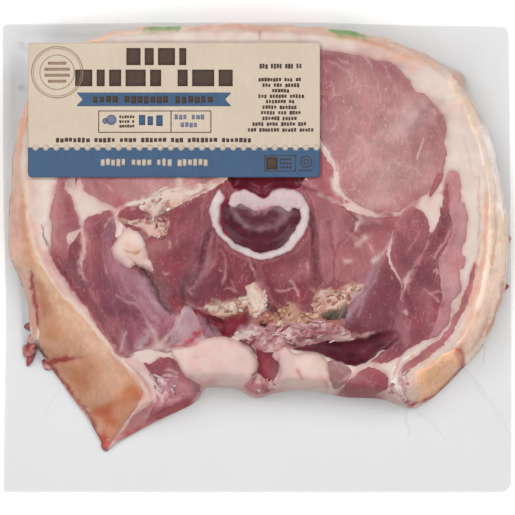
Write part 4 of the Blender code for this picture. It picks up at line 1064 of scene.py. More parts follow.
    (1.4, (170, 136, 142), 0.8, [270, 209, 282, 210, 288, 214]),
    (1.5, (200, 138, 148), 1.2, [261, 212, 265, 212, 270, 207]),
    (3.0, (86, 40, 52), 0.75, [250, 217, 262, 219, 274, 215]),
    (3.0, (76, 30, 42), 0.6, [231, 222, 231, 232, 236, 241]),
    (2.6, (122, 34, 50), 0.8, [256, 182, 262, 190, 268, 182]),
    (1.6, (84, 30, 42), 0.8, [278, 182, 284, 184]),
    # the dark places among the torn fat
    (1.8, (56, 44, 42), 0.9, [329, 315, 336, 316]),
    (1.2, (88, 92, 78), 0.6, [322, 318, 340, 314]),
    (1.5, (70, 42, 44), 0.9, [294, 345, 306, 347, 320, 347]),
    (2.4, (206, 156, 132), 0.8, [290, 306, 295, 311, 300, 316]),
    (3.6, (178, 122, 108), 0.6, [320, 303, 328, 298, 338, 294]),
]

# Creases of the film, drawn as faint grey strips of painted shade: width in mm, points.
CREASES = [
    (3.0, [19, 42, 23, 46, 28, 51]),
    (3.5, [19, 86, 22, 88, 26, 91]),
    (2.6, [462, 366, 475, 380, 485, 395, 500, 418, 511, 435]),
    (1.5, [407, 408, 406, 420, 409, 430, 407, 443]),
    (1.8, [415, 410, 430, 422, 448, 442]),
    (1.5, [485, 345, 484, 355, 483, 365]),
    (1.1, [60, 390, 50, 402, 44, 418]),
]

# The pack's outline and the label's.
PACK_LOOP = on_sheet([
        7, 24, 4, 25, 2.7, 28, 3, 150, 3.6, 210, 6, 300, 5.5, 360, 4, 440, 3.6, 488,
        4.5, 491, 8, 492, 260, 492, 500, 492, 507, 490.5, 511, 484, 511.5, 400, 511, 250,
        509.5, 100, 508.5, 34, 506.5, 28.5, 501, 26.3, 420, 25.5, 300, 22, 150, 22.6])
LABEL_LOOP = on_sheet([29, 43.6, 319.8, 43.6, 319.8, 174, 316, 177.7, 34, 177.7, 29, 173])


def flat_strokes(rows):
    """Strokes of colour alone."""
    return [Stroke(width, colour, strength, 0, line) for width, colour, strength, line in rows]


BLEED = [(*BORDER_BLEED, [*row[-1], *row[-1][:2]]) for row in MUSCLES.values()]
BED_STROKES = flat_strokes(BED_TINTS + BLEED)
MARK_STROKES = flat_strokes(STAINS_AND_PAINTED_LIGHT) + [Stroke(*row) for row in VEINS + FOLDS + SEAMS_AND_GLINTS]
HOLLOW_LOOPS = [
    (fall * MM, slope * MM, rounded(on_sheet(outline), True))
    for fall, slope, outline in HOLLOWS.values()
]


def side_map():
    """How deep inside the chop's outline each place of the height map's grid is."""
    rows, columns = np.indices(BAG.grid.shape)
    spots = BAG.low + np.column_stack([rows.ravel(), columns.ravel()]) * SAMPLE_STEP
    return depth_inside(spots, BODY_LOOP)[0].reshape(BAG.grid.shape)


SIDE_DEPTH = side_map()


def rise_share(places):
    """How much relief the chop may have: none at its outline, all of it further in."""
    return ease(BAG.read(SIDE_DEPTH, places) / SIDE_WIDTH)


def bed_level(places, drop):
    """The top of the fat bed, a little under the film, with every fold and seam."""
    side = rise_share(places)
    level = BAG.at(places) - drop * side
    for fall, slope, loop in HOLLOW_LOOPS:
        near = np.flatnonzero(((places > loop.min(0)) & (places < loop.max(0))).all(1))
        depth = depth_inside(places[near], loop)[0]
        level[near] -= fall * side[near] * ease(depth / slope)
    for stroke in MARK_STROKES:
        if stroke.rise:
            near, share = stroke.share(places)
            level[near] += stroke.rise * share * side[near]
    level += 0.10 * MM * side * ripple(places, 4 * MM, 3)
    return np.maximum(level, CHOP_FLOOR + 0.2 * MM)


def painted(places, colour, strokes):
    """The colour at each place: the base with every stroke laid over it."""
    result = colour(places) if callable(colour) else np.tile(linear(colour), (len(places), 1))
    for stroke in strokes:
        near, share = stroke.share(places)
        mix = np.minimum(stroke.strength * share, 1)[:, None]
        result[near] = result[near] * (1 - mix) + stroke.colour * mix
    return result * PAINT_DEPTH


def grid_over(bm, low, high, cell):
    """A flat grid of cells over a rectangle of the plan."""
    size = np.maximum(np.array(high) - np.array(low), cell)
    counts = np.maximum(np.round(size / cell).astype(int), 1)
    made = bmesh.ops.create_grid(
        bm, x_segments=int(counts[0]), y_segments=int(counts[1]), size=0.5
    )
    bmesh.ops.scale(bm, vec=(*size, 1), verts=made["verts"])
    middle = (np.array(low) + np.array(high)) / 2
    bmesh.ops.translate(bm, vec=(*middle, 0), verts=made["verts"])
    return made["verts"]


def plan_of(verts):
    return np.array([vertex.co[:2] for vertex in verts]).reshape(-1, 2)


def lay_sheet(bm, loop, cell, hole=None):
    """An open grid cut to a closed outline. Gives its vertices and how deep inside each is."""

    def depth_in(places):
        depth, spots = depth_inside(places, loop)
        if hole is not None:
            inner, inner_spots = depth_inside(places, hole)
            nearer = -inner < depth
            depth = np.where(nearer, -inner, depth)
            spots = np.where(nearer[:, None], inner_spots, spots)
        return depth, spots

    verts = grid_over(bm, loop.min(0) - cell, loop.max(0) + cell, cell)
    depth = depth_in(plan_of(verts))[0]
    kept = [vertex for vertex, far in zip(verts, depth) if far >= -cell / 2]
    loose = [vertex for vertex, far in zip(verts, depth) if far < -cell / 2]
    while loose:
        bmesh.ops.delete(bm, geom=loose, context="VERTS")
        kept = [vertex for vertex in kept if vertex.is_valid]
        loose = [vertex for vertex in kept if is_loose(vertex)]
    rim = [vertex for vertex in kept if vertex.is_boundary]
    for vertex, spot in zip(rim, depth_in(plan_of(rim))[1]):
        vertex.co.x, vertex.co.y = spot
    return kept, np.maximum(depth_in(plan_of(kept))[0], 0)


def is_loose(vertex):
    """True without faces, and where two parts of a sheet meet in a point."""
    return not vertex.link_faces or sum(edge.is_boundary for edge in vertex.link_edges) > 2


def drop_walls(bm, floor):
    """Closes a sheet into a body with upright walls and a flat floor."""
    rim = [edge for edge in bm.edges if edge.is_boundary]
    made = bmesh.ops.extrude_edge_only(bm, edges=rim)["geom"]
    for item in made:
        if isinstance(item, bmesh.types.BMVert):
            item.co.z = floor
    edges = [item for item in made if isinstance(item, bmesh.types.BMEdge) and item.is_boundary]
    bmesh.ops.edgeloop_fill(bm, edges=edges)


def new_mesh(name, bm):
    bmesh.ops.recalc_face_normals(bm, faces=bm.faces)
    mesh = bpy.data.meshes.new(name)
    bm.to_mesh(mesh)
    bm.free()
    mesh.shade_smooth()
    return mesh


def new_piece(name, mesh, finish, replaced):
    """Puts a finished mesh in the scene as a piece that rides on the pack."""
    piece = bpy.data.objects.new(name, mesh)
    bpy.context.scene.collection.objects.link(piece)
    mesh.materials.append(finish)
    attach(piece, "root")
    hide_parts(replaced)
    return piece


def corners_of(mesh):
    spots = np.empty(len(mesh.vertices) * 3)
    mesh.vertices.foreach_get("co", spots)
    return spots.reshape(-1, 3)


def paint_mesh(mesh, colour, strokes, loop, fringe):
    """Stores the painted colour on the vertices, with a fringe along the border."""
    spots = corners_of(mesh)
    colours = np.ones((len(spots), 4))
    colours[:, :3] = painted(spots[:, :2], colour, strokes)
    if fringe:
        width, tone, strength = fringe
        depth = np.abs(nearest_on(spots[:, :2], loop, True)[0])
        share = strength * np.exp(-((depth / width) ** 2))
        share *= 0.75 + 0.25 * ripple(spots[:, :2], 3 * MM, 90)
        colours[:, :3] += (linear(tone) * PAINT_DEPTH - colours[:, :3]) * share[:, None]
    layer = mesh.color_attributes.new(PAINT_LAYER, "FLOAT_COLOR", "POINT")
    layer.data.foreach_set("color", colours.ravel())


def add_flesh(name, loop, cell, top_at, colour, strokes, finish, floor, fringe=None):
    """A closed piece of the chop, cut to its outline, with its top at top_at."""
    bm = bmesh.new()
    verts, depth = lay_sheet(bm, loop, cell)
    for vertex, height in zip(verts, top_at(plan_of(verts), depth)):
        vertex.co.z = max(height, floor + 0.15 * MM)
    drop_walls(bm, floor)
    mesh = new_mesh(name, bm)
    paint_mesh(mesh, colour, strokes, loop, fringe)
    piece = new_piece(name, mesh, finish, "sealed_bag")
    CONTENTS.append(piece)
    return piece


def sunk_rim(depth, rounding, sink, rise, bluntness=0.5):
    """A border that starts under the bed and comes up to its full rise."""
    share = 1 - (1 - np.clip(depth / rounding, 0, 1)) ** 2
    return sink + (rise - sink) * share**bluntness


def cut_rim(places, depth, sizes, rise):
    """The low, ragged border of a muscle cut across."""
    rim = sunk_rim(depth, sizes.rounding, -sizes.cut_sink, rise, 1)
    return rim + RAGGEDNESS * ripple(places, 1.5 * MM, 33) * (1 - ease(depth / (2 * MM)))


def shader(name, roughness, gloss):
    """A new material, with helpers that add nodes and that link or set its shader."""
    material = bpy.data.materials.new(name)
    material.use_nodes = True
    tree = material.node_tree
    surface = tree.nodes["Principled BSDF"]

    def fit(socket, value):
        if isinstance(value, bpy.types.NodeSocket):
            tree.links.new(value, socket)
        else:
            socket.default_value = value

    def node(kind, inputs=(), **settings):
        made = tree.nodes.new(kind)
        for key, value in settings.items():
            setattr(made, key, value)
        for key, value in dict(inputs).items():
            fit(made.inputs[key], value)
        return made

    def link(value, name):
        fit(surface.inputs[name], value)

    link(roughness, "Roughness")
    link(gloss, "Specular IOR Level")
    return material, node, link


def grain_of(node, turn, stretch):
    """The piece's own coordinates, stretched along a turned grain."""
    settings = {
        "Vector": node("ShaderNodeTexCoord").outputs["Object"],
        "Rotation": (0, 0, -math.radians(turn)),
        "Scale": stretch,
    }
    return node("ShaderNodeMapping", settings).outputs["Vector"]


def object_noise(node, scale, detail, turn=0.0, stretch=(1, 1, 1), distortion=0.0):
    settings = {
        "Vector": grain_of(node, turn, stretch),
        "Scale": scale,
        "Detail": detail,
        "Distortion": distortion,
    }
    return node("ShaderNodeTexNoise", settings).outputs["Fac"]


def shades(node, factor, low, high, start=0.3, end=0.7):
    """A factor from start to end as a value from low to high."""
    settings = {"Value": factor, "From Min": start, "From Max": end, "To Min": low, "To Max": high}
    return node("ShaderNodeMapRange", settings).outputs["Result"]


def times(node, first, second):
    return node("ShaderNodeMath", {0: first, 1: second}, operation="MULTIPLY").outputs["Value"]


def tinted(node, colour, value):
    settings = {0: colour, "Scale": value}
    return node("ShaderNodeVectorMath", settings, operation="SCALE").outputs["Vector"]


def blended(node, share, first, second):
    mix = node("ShaderNodeMix", {"Factor": share}, data_type="RGBA")
    sockets = [socket for socket in mix.inputs if socket.type == "RGBA"]
    mix.id_data.links.new(first, sockets[0])
    sockets[1].default_value = second
    return [socket for socket in mix.outputs if socket.type == "RGBA"][0]


def band(node, factor, middle, width):
    """One where a factor is close to a value, for thin lines drawn by noise."""
    offset = node("ShaderNodeMath", {0: factor, 1: middle}, operation="SUBTRACT").outputs["Value"]
    size = node("ShaderNodeMath", {0: offset}, operation="ABSOLUTE").outputs["Value"]
    return shades(node, size, 1, 0, 0, width)


def emboss(node, link, height, strength, distance):
    """Bumps the surface by a height."""
    settings = {"Height": height, "Strength": strength, "Distance": distance}
    link(node("ShaderNodeBump", settings).outputs["Normal"], "Normal")


def paint_of(node):
    return node("ShaderNodeAttribute", attribute_name=PAINT_LAYER).outputs["Color"]


def flat_tone(colour):
    return (*linear(colour), 1)


def lean_finish(name, turn, marbling, gloss=0.3):
    """Wet cut muscle: fine grain, soft mottling, thin pale marbling and pale specks that are
    partly painted glints.
    """
    material, node, link = shader(name, 0.45, gloss)
    mottle = shades(node, object_noise(node, 85, 4, distortion=0.4), 0.83, 1.15)
    grain = object_noise(node, 620, 3, turn, (1, 0.4, 1))
    fibre = shades(node, grain, 0.93, 1.06)
    speckle = shades(node, object_noise(node, 1500, 1), 0.94, 1.06)
    shade = times(node, times(node, mottle, fibre), speckle)
    redder = shades(node, object_noise(node, 75, 3, distortion=0.8), 0.0, 0.30)
    paint = blended(node, redder, paint_of(node), flat_tone((150, 62, 74)))
    lines = band(node, object_noise(node, 130, 5, turn, (1, 0.5, 1), 2.0), 0.5, 0.010)
    threads = times(node, lines, shades(node, object_noise(node, 90, 3), 0.0, marbling))
    pale = flat_tone((222, 178, 176))
    lined = blended(node, threads, tinted(node, paint, shade), pale)
    # pale specks: partly flecks of fat, partly painted glints of wet highlight; their amount
    # follows the marbling
    dots = object_noise(node, 760, 1, turn, (1, 0.6, 1))
    flecks_and_glints = shades(node, dots, 0, 0.6 * marbling, 0.68, 0.78)
    link(blended(node, flecks_and_glints, lined, pale), "Base Color")
    emboss(node, link, grain, 0.35, 0.3 * MM)
    return material


def fat_finish(name, rose):
    """Firm fat: cream with soft rose clouds and a faintly lumpy surface."""
    material, node, link = shader(name, 0.5, 0.25)
    shade = shades(node, object_noise(node, 150, 5), 0.92, 1.05)
    rosy = shades(node, object_noise(node, 120, 4, distortion=0.8), -0.1, rose)
    lit = tinted(node, paint_of(node), shade)
    link(blended(node, rosy, lit, flat_tone((218, 160, 152))), "Base Color")
    emboss(node, link, object_noise(node, 420, 3), 0.25, 0.3 * MM)
    return material


def skin_finish(name, turn):
    """Scalded rind: tan and peach patches, fine creases and dark pores."""
    material, node, link = shader(name, 0.45, 0.3)
    patches = shades(node, object_noise(node, 90, 5, distortion=0.5), 0.86, 1.10)
    creases = object_noise(node, 420, 4, turn, (1, 0.4, 1))
    shade = times(node, patches, shades(node, creases, 0.92, 1.07))
    lit = tinted(node, paint_of(node), shade)
    warm = shades(node, object_noise(node, 130, 3), 0.0, 0.2)
    lit = blended(node, warm, lit, flat_tone((206, 140, 100)))
    place = grain_of(node, turn, (1, 0.6, 1))
    cells = node("ShaderNodeTexVoronoi", {"Vector": place, "Scale": 520}).outputs["Distance"]
    dots = shades(node, cells, 0.8, 0, 0.10, 0.22)
    pores = times(node, dots, shades(node, object_noise(node, 170, 2), 0.0, 1.0))
    link(blended(node, pores, lit, flat_tone((140, 84, 60))), "Base Color")
    emboss(node, link, creases, 0.3, 0.3 * MM)
    return material


def bone_finish(name, low, high, gloss):
    """Sawn bone and marrow: granular, with darker pores."""
    material, node, link = shader(name, 0.4, gloss)
    grains = object_noise(node, 900, 2)
    clouds = shades(node, object_noise(node, 200, 3), low, high)
    shade = times(node, clouds, shades(node, grains, 0.92, 1.08))
    link(tinted(node, paint_of(node), shade), "Base Color")
    emboss(node, link, grains, 0.4, 0.2 * MM)
    return material


def film_finish(name, face_on, edge_on, metallic, tint):
    """Clear film: hardly there face on, a little more where it turns away."""
    material, node, link = shader(name, 0.2, 0.5)
    turned = node("ShaderNodeLayerWeight", {"Blend": 0.5}).outputs["Facing"]
    link(shades(node, times(node, turned, turned), face_on, edge_on, 0, 1), "Alpha")
    milky = shades(node, object_noise(node, 30, 2), 0.94, 1.0)
    link(tinted(node, (*linear(tint),), milky), "Base Color")
    link(metallic, "Metallic")
    return material


def paper_finish(name, colour, grain):
    """Printed paper: faint fibres across a warm ground."""
    material, node, link = shader(name, 0.6, 0.2)
    fibres = shades(node, object_noise(node, 700, 3, 0, (1, 0.3, 1)), 1 - grain, 1 + grain)
    clouds = shades(node, object_noise(node, 40, 2), 0.97, 1.03)
    link(tinted(node, tuple(colour), times(node, fibres, clouds)), "Base Color")
    emboss(node, link, object_noise(node, 1600, 2), 0.2, 0.1 * MM)
    return material


def ink(name, description, colour):
    """A colour setting of the label."""
    return FloatVectorProperty(
        name=name,
        description=description,
        default=tuple(linear(colour)),
        subtype="COLOR",
        min=0.0,
        max=1.0,
    )


def length(name, description, size, least=0.0):
    """A length setting."""
    return FloatProperty(
        name=name, description=description, default=size, min=least, unit="LENGTH"
    )


class ChopSizes(bpy.types.PropertyGroup):
    """How the pieces of the chop lie under the film."""

    bed_drop: length("Bed drop", "How far the bed of fat lies under the film's solid", 1.3 * MM)
    bed_cell: length("Bed cell", "Mesh size of the bed of fat", 0.75 * MM, 0.4 * MM)
    cut_cell: length("Cut cell", "Mesh size of the pieces set in the bed", 0.58 * MM, 0.3 * MM)
    rounding: length("Rounding", "How far in a muscle is level", 2.2 * MM, 0.2 * MM)
    overlap: length("Overlap", "How far a piece reaches past its drawn outline", 0.4 * MM)
    sink: length("Sink", "How deep the border of a fat lump is sunk in the bed", 0.7 * MM)
    cut_sink: length("Cut sink", "How deep the border of a muscle is sunk", 0.35 * MM)


class FilmSizes(bpy.types.PropertyGroup):
    """The clear film of the bag."""

    gap: length("Gap", "Space between the chop and the film drawn over it", 0.15 * MM)
    thickness: length("Thickness", "Thickness of the film", 0.08 * MM, 0.01 * MM)
    cell: length("Cell", "Mesh size of the film over the chop", 1.15 * MM, 0.5 * MM)


class LabelColours(bpy.types.PropertyGroup):
    """The paper and the inks of the label."""

    paper: ink("Paper", "Ground colour of the label", (198, 182, 163))
    blue: ink("Blue", "The scalloped band, the ribbon and the small blue blocks", (64, 89, 118))
    brown: ink("Brown", "The large and the small brown blocks, and the frames", (76, 61, 52))
    faint: ink("Faint", "The faint rings and bars", (150, 126, 106))
    slate: ink("Slate", "The small grey blue blocks", (114, 118, 142))


class CHOP_OT_make_bed(bpy.types.Operator):
    """Lays the bed of fat that the rest of the chop is set in"""

    bl_idname = "chop.make_bed"
    bl_label = "Fat bed"

    def execute(self, context):
        sizes = context.scene.chop_sizes
        add_flesh(
            "fat_bed",
            BODY_LOOP,
            sizes.bed_cell,
            lambda places, depth: bed_level(places, sizes.bed_drop),
            CREAM_FAT,
            BED_STROKES + MARK_STROKES,
            fat_finish("back_fat", 0.22),
            CHOP_FLOOR + 0.15 * MM,
        )
        return {"FINISHED"}


def set_in_bed(name, colour, rise, outline, finish, rounding=None, fringe=None):
    """A piece with a rounded border that rises out of the bed of fat."""
    sizes = bpy.context.scene.chop_sizes
    loop = rounded(on_sheet(outline), True)
    loop = grown(loop - warp(loop), sizes.overlap)

    def top_at(places, depth):
        if rounding:
            rim = sunk_rim(depth, rounding, -sizes.sink, rise * MM)
        else:
            rim = cut_rim(places, depth, sizes, rise * MM)
        return bed_level(places, sizes.bed_drop) + rise_share(places) * rim

    cell = sizes.cut_cell
    add_flesh(name, loop, cell, top_at, colour, MARK_STROKES, finish, CHOP_FLOOR, fringe)


class CHOP_OT_make_skin(bpy.types.Operator):
    """Lays the rind round the back and the skin of both folded flaps"""

    bl_idname = "chop.make_skin"
    bl_label = "Rind and skin"

    def execute(self, context):
        finish = skin_finish("scalded_skin", 20)
        for name, (colour, rise, outline) in SKIN.items():
            set_in_bed(name, colour, rise, outline, finish)
        return {"FINISHED"}


class CHOP_OT_make_muscles(bpy.types.Operator):
    """Sets each cut muscle in the bed with its own grain"""

    bl_idname = "chop.make_muscles"
    bl_label = "Muscles"

    def execute(self, context):
        for name, (colour, rise, turn, outline) in MUSCLES.items():
            marbling = 0.7 if name == "loin_eye_right" else 0.4
            finish = lean_finish("lean_" + name, turn, marbling)
            set_in_bed(name, colour, rise, outline, finish, fringe=LEAN_FRINGE)
        return {"FINISHED"}


class CHOP_OT_make_backbone(bpy.types.Operator):
    """Sets the sawn backbone between the two loins"""

    bl_idname = "chop.make_backbone"
    bl_label = "Backbone"

    def execute(self, context):
        hard = bone_finish("sawn_bone", 0.92, 1.05, 0.3)
        soft = bone_finish("marrow", 0.75, 1.25, 0.05)
        for name, (colour, rise, outline) in BONE.items():
            is_hard = name in ("bone_ring", "bone_plate")
            finish, fringe = (hard, BONE_FRINGE) if is_hard else (soft, None)
            set_in_bed(name, colour, rise, outline, finish, BONE_ROUNDING, fringe)
        return {"FINISHED"}


class CHOP_OT_make_tissue(bpy.types.Operator):
    """Lays the wet membranes, gaps and torn tissue along the belly edge"""

    bl_idname = "chop.make_tissue"
    bl_label = "Belly tissue"

    def execute(self, context):
        wet = lean_finish("wet_tissue", 20, 0.5)
        dark = lean_finish("dark_gap", 20, 0.0, 0.05)
        for name, (colour, rise, outline) in TISSUE.items():
            finish = dark if name in HOLLOWS else wet
            fringe = LEAN_FRINGE if rise > 0.2 else None
            set_in_bed(name, colour, rise, outline, finish, fringe=fringe)
        return {"FINISHED"}


class CHOP_OT_make_fat(bpy.types.Operator):
    """Sets the lumps, lobes and curls of fat that stand out"""

    bl_idname = "chop.make_fat"
    bl_label = "Fat lobes"

    def execute(self, context):
        finish = fat_finish("lobe_fat", 0.4)
        for name, (colour, rise, outline) in FAT.items():
            set_in_bed(name, colour, rise, outline, finish, FAT_ROUNDING, FAT_FRINGE)
        return {"FINISHED"}


def blotches(tones, seed):
    """A colour for each place out of several tones, in small blotches with soft edges."""

    def pull(places, step):
        fine = ripple(places, 1.3 * MM, seed - step)
        return np.exp(BLOTCH_EDGE * (ripple(places, 3.2 * MM, seed + step) + 0.6 * fine))

    def tone_at(places):
        pulls = np.stack([pull(places, step) for step in range(len(tones))])
        return np.einsum("kn,kc->nc", pulls / pulls.sum(0), np.array([*map(linear, tones)]))

    return tone_at


def add_torn_ground(name, sizes, rise, tones, outline, seed):
    """Rough torn tissue that fills a patch of the cut face."""
    loop = rounded(on_sheet(outline), True)
    loop = grown(loop - 1.6 * warp(loop), sizes.overlap)

    def top_at(places, depth):
        level = bed_level(places, sizes.bed_drop)
        rough = ripple(places, 2.4 * MM, seed) + 0.7 * ripple(places, 1.3 * MM, seed + 1)
        level += sunk_rim(depth, 1.5 * MM, -sizes.sink, rise * MM)
        return level + TORN_ROUGHNESS * rough

    colour, finish = blotches(tones, 500 + 20 * seed), fat_finish(name, 0.1)
    add_flesh(name, loop, sizes.cut_cell, top_at, colour, MARK_STROKES, finish, CHOP_FLOOR)


def add_scraps(name, sizes, row, draw):
    """Ragged flakes strewn over a patch of the cut face, each a closed lump of its own."""
    count, lengths, widths, turn, spread, rise, tones, outline = row
    loop = rounded(on_sheet(outline), True)
    spots = draw.uniform(loop.min(0), loop.max(0), (count * 5, 2))
    spots = spots[is_inside(spots, loop)][:count]
    levels = bed_level(spots, sizes.bed_drop) + (rise + 0.05) * MM
    bm = bmesh.new()
    layer = bm.verts.layers.float_color.new(PAINT_LAYER)
    for spot, level in zip(spots, levels):
        verts = bmesh.ops.create_icosphere(bm, subdivisions=2, radius=1)["verts"]
        for vertex in verts:
            vertex.co *= draw.uniform(*SCRAP_RAGGEDNESS)
        half = [draw.uniform(*span) for span in (lengths, widths, SCRAP_THICKNESS)]
        bmesh.ops.scale(bm, vec=[size * MM for size in half], verts=verts)
        angle = math.radians(turn + draw.uniform(-spread, spread))
        bmesh.ops.rotate(bm, cent=(0, 0, 0), matrix=Matrix.Rotation(angle, 3, "Z"), verts=verts)
        bmesh.ops.translate(bm, vec=(*spot, level), verts=verts)
        tone = linear(tones[draw.integers(len(tones))]) * PAINT_DEPTH * draw.uniform(0.8, 1)
        for vertex in verts:
            vertex[layer] = (*tone, 1)
    finish = fat_finish(name, 0.2)
    CONTENTS.append(new_piece(name, new_mesh(name, bm), finish, "sealed_bag"))


class CHOP_OT_make_scraps(bpy.types.Operator):
    """Strews the torn scraps of fat and tissue over the cut face"""

    bl_idname = "chop.make_scraps"
    bl_label = "Torn scraps"

    def execute(self, context):
        draw = np.random.default_rng(5)
        sizes = context.scene.chop_sizes
        for seed, (name, row) in enumerate(SCRAPS.items()):
            rise, tones, outline = row[-3:]
            add_torn_ground(name + "_ground", sizes, rise, tones, outline, seed)
            add_scraps(name, sizes, row, draw)
        return {"FINISHED"}


class CHOP_OT_make_knobs(bpy.types.Operator):
    """Sets the small knobs of skin and blood round the outline, under the film"""

    bl_idname = "chop.make_knobs"
    bl_label = "Knobs"

    def execute(self, context):
        cell, finish = context.scene.chop_sizes.cut_cell, fat_finish("knob_flesh", 0.25)
        for seed, (name, (height, colour, outline)) in enumerate(KNOBS.items()):
            loop = rounded(on_sheet(outline), True)
            loop -= warp(loop)
            tones = blotches((colour, colour, *KNOB_TONES), 800 + 20 * seed)

            def top_at(places, depth):
                dome = height * MM * np.sqrt(ease(depth / (1.5 * MM)))
                return np.minimum(BAG.at(places) - KNOB_COVER, dome)

            add_flesh(name, loop, cell, top_at, tones, [], finish, KNOB_FLOOR)
        return {"FINISHED"}


def add_film(name, bm, finish, thickness, is_flat=False):
    """A sheet of film as a piece with a thickness."""
    piece = new_piece(name, new_mesh(name, bm), finish, "sealed_bag")
    if is_flat:
        piece.data.shade_flat()
    thicken(piece, thickness)
    return piece


class CHOP_OT_make_film(bpy.types.Operator):
    """Draws the clear film over the chop and round its welded border"""

    bl_idname = "chop.make_film"
    bl_label = "Film"

    def execute(self, context):
        sizes = context.scene.film_sizes
        chop = surface_of(CONTENTS)
        bm = bmesh.new()
        verts, depth = lay_sheet(bm, FOOT_LOOP, sizes.cell)
        places = plan_of(verts)
        off_chop = ease(-depth_inside(places, BODY_LOOP)[0] / (3 * MM))
        level = chop.at(places) + sizes.gap
        level += (BAG.at(places) - level) * off_chop
        rim = ease(depth / ((2 + 6 * off_chop) * MM))
        level = BORDER_TOP * (1 - rim) + level * rim
        for vertex, height in zip(verts, np.maximum(level, BORDER_TOP)):
            vertex.co.z = height
        clear = film_finish("clear_film", 0.004, 0.03, 1.0, (248, 246, 246))
        add_film("film_over_chop", bm, clear, sizes.thickness).visible_shadow = False
        bm = bmesh.new()
        seam = grown(FOOT_LOOP, -SEAM_OVERLAP)
        verts, depth = lay_sheet(bm, PACK_LOOP, BORDER_CELL, seam)
        length, height = BORDER_WAVE
        for vertex, wave in zip(verts, ripple(plan_of(verts), length, 8)):
            vertex.co.z = BORDER_TOP - 2 * sizes.thickness + height * wave
        # The grey tint is partly the film's own haze and partly painted shade, for the grey that
        # shows through the border.
        welded = film_finish("welded_film", 0.13, 0.17, 0.0, (168, 169, 170))
        add_film("film_border", bm, welded, 2 * sizes.thickness, is_flat=True)
        bm = bmesh.new()
        verts, depth = lay_sheet(bm, seam, BACK_CELL)
        for vertex in verts:
            vertex.co.z = BACK_LEVEL
        # The same grey tint: partly the film's haze, partly painted shade.
        back = film_finish("back_film", 0.12, 0.16, 0.0, (168, 169, 170))
        add_film("film_back", bm, back, sizes.thickness, is_flat=True)
        return {"FINISHED"}


class CHOP_OT_crease_film(bpy.types.Operator):
    """Draws the creases of the welded border and of the film beside the chop as flat grey strips
    of painted shade
    """

    bl_idname = "chop.crease_film"
    bl_label = "Film creases"

    def execute(self, context):
        bm = bmesh.new()
        for width, points in CREASES:
            line = rounded(on_sheet(points), False)
            along = np.gradient(line, axis=0)
            along /= np.linalg.norm(along, axis=1)[:, None]
            taper = np.sin(np.linspace(0.08, 0.95, len(line)) * math.pi)
            side = np.column_stack([-along[:, 1], along[:, 0]]) * (taper * width * MM / 2)[:, None]
            verts = [bm.verts.new((*spot, 0)) for spot in line - side]
            edges = [bm.edges.new(pair) for pair in zip(verts, verts[1:])]
            for vertex in bmesh.ops.extrude_edge_only(bm, edges=edges)["geom"]:
                if isinstance(vertex, bmesh.types.BMVert):
                    gaps = [(vertex.co - other.co).length for other in verts]
                    near = gaps.index(min(gaps))
                    vertex.co.x, vertex.co.y = line[near] + side[near]
        for vertex, height in zip(bm.verts, BAG.at(plan_of(bm.verts))):
            vertex.co.z = height - 0.12 * MM
        # painted shade: a faint grey strip stands for the darker look of each fold
        crease_shade = film_finish("crease_shade_film", 0.03, 0.05, 0.0, (150, 152, 154))
        thickness = context.scene.film_sizes.thickness
        add_film("film_crease_shade", bm, crease_shade, thickness).visible_shadow = False
        return {"FINISHED"}


def surface_of(pieces):
    """The highest surface of several pieces together, as a height map."""
    joined = bmesh.new()
    for piece in pieces:
        joined.from_mesh(piece.data)
    return Height(joined, *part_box("sealed_bag"), 0.0, 2, 1)


def thicken(piece, thickness):
    wall = piece.modifiers.new("thickness", "SOLIDIFY")
    wall.thickness = thickness
    wall.offset = 1
    wall.use_even_offset = False


class CHOP_OT_make_label(bpy.types.Operator):
    """Lays the paper label on the film"""

    bl_idname = "chop.make_label"
    bl_label = "Label"

    def execute(self, context):
        bm = bmesh.new()
        verts, depth = lay_sheet(bm, LABEL_LOOP, LABEL_CELL)
        for vertex, height in zip(verts, label_level(plan_of(verts))):
            vertex.co.z = height - PAPER_THICKNESS
        mesh = new_mesh("label_paper", bm)
        finish = paper_finish("label_paper", context.scene.label_colours.paper, 0.03)
        piece = new_piece("label_paper", mesh, finish, "label")
        thicken(piece, PAPER_THICKNESS)
        return {"FINISHED"}


def label_level(places):
    return LABEL_TOP.at(places) - LABEL_COVER


def add_bar(bm, x0, y0, x1, y1):
    """One block of ink on the sheet, in cells short enough to follow the label."""
    (left, near), (right, far) = on_sheet([(x0, y1), (x1, y0)])
    cells = max(1, math.ceil((right - left) / PRINT_CELL))
    rows = max(1, math.ceil((far - near) / PRINT_CELL))
    made = bmesh.ops.create_grid(bm, x_segments=cells, y_segments=rows, size=0.5)
    bmesh.ops.scale(bm, vec=(right - left, far - near, 1), verts=made["verts"])
    middle = ((left + right) / 2, (near + far) / 2, 0)
    bmesh.ops.translate(bm, vec=middle, verts=made["verts"])


def add_frame(bm, x0, y0, x1, y1, line):
    """A thin rectangular frame."""
    for box in (
        (x0, y0, x1, y0 + line),
        (x0, y1 - line, x1, y1),
        (x0, y0 + line, x0 + line, y1 - line),
        (x1 - line, y0 + line, x1, y1 - line),
    ):
        add_bar(bm, *box)


def add_disc(bm, x, y, radius, sides=16):
    spot = on_sheet([(x, y)])[0]
    made = bmesh.ops.create_circle(
        bm, cap_ends=True, radius=radius * SHEET_UNIT, segments=sides
    )
    bmesh.ops.translate(bm, vec=(*spot, 0), verts=made["verts"])


def add_ring(bm, x, y, radius, line, sides=64):
    """A thin circle: two loops of edges bridged."""
    spot = on_sheet([(x, y)])[0]
    edges = []
    for size in (radius, radius - line):
        made = bmesh.ops.create_circle(
            bm, cap_ends=False, radius=size * SHEET_UNIT, segments=sides
        )
        bmesh.ops.translate(bm, vec=(*spot, 0), verts=made["verts"])
        edges += list({edge for vertex in made["verts"] for edge in vertex.link_edges})
    bmesh.ops.bridge_loops(bm, edges=edges)


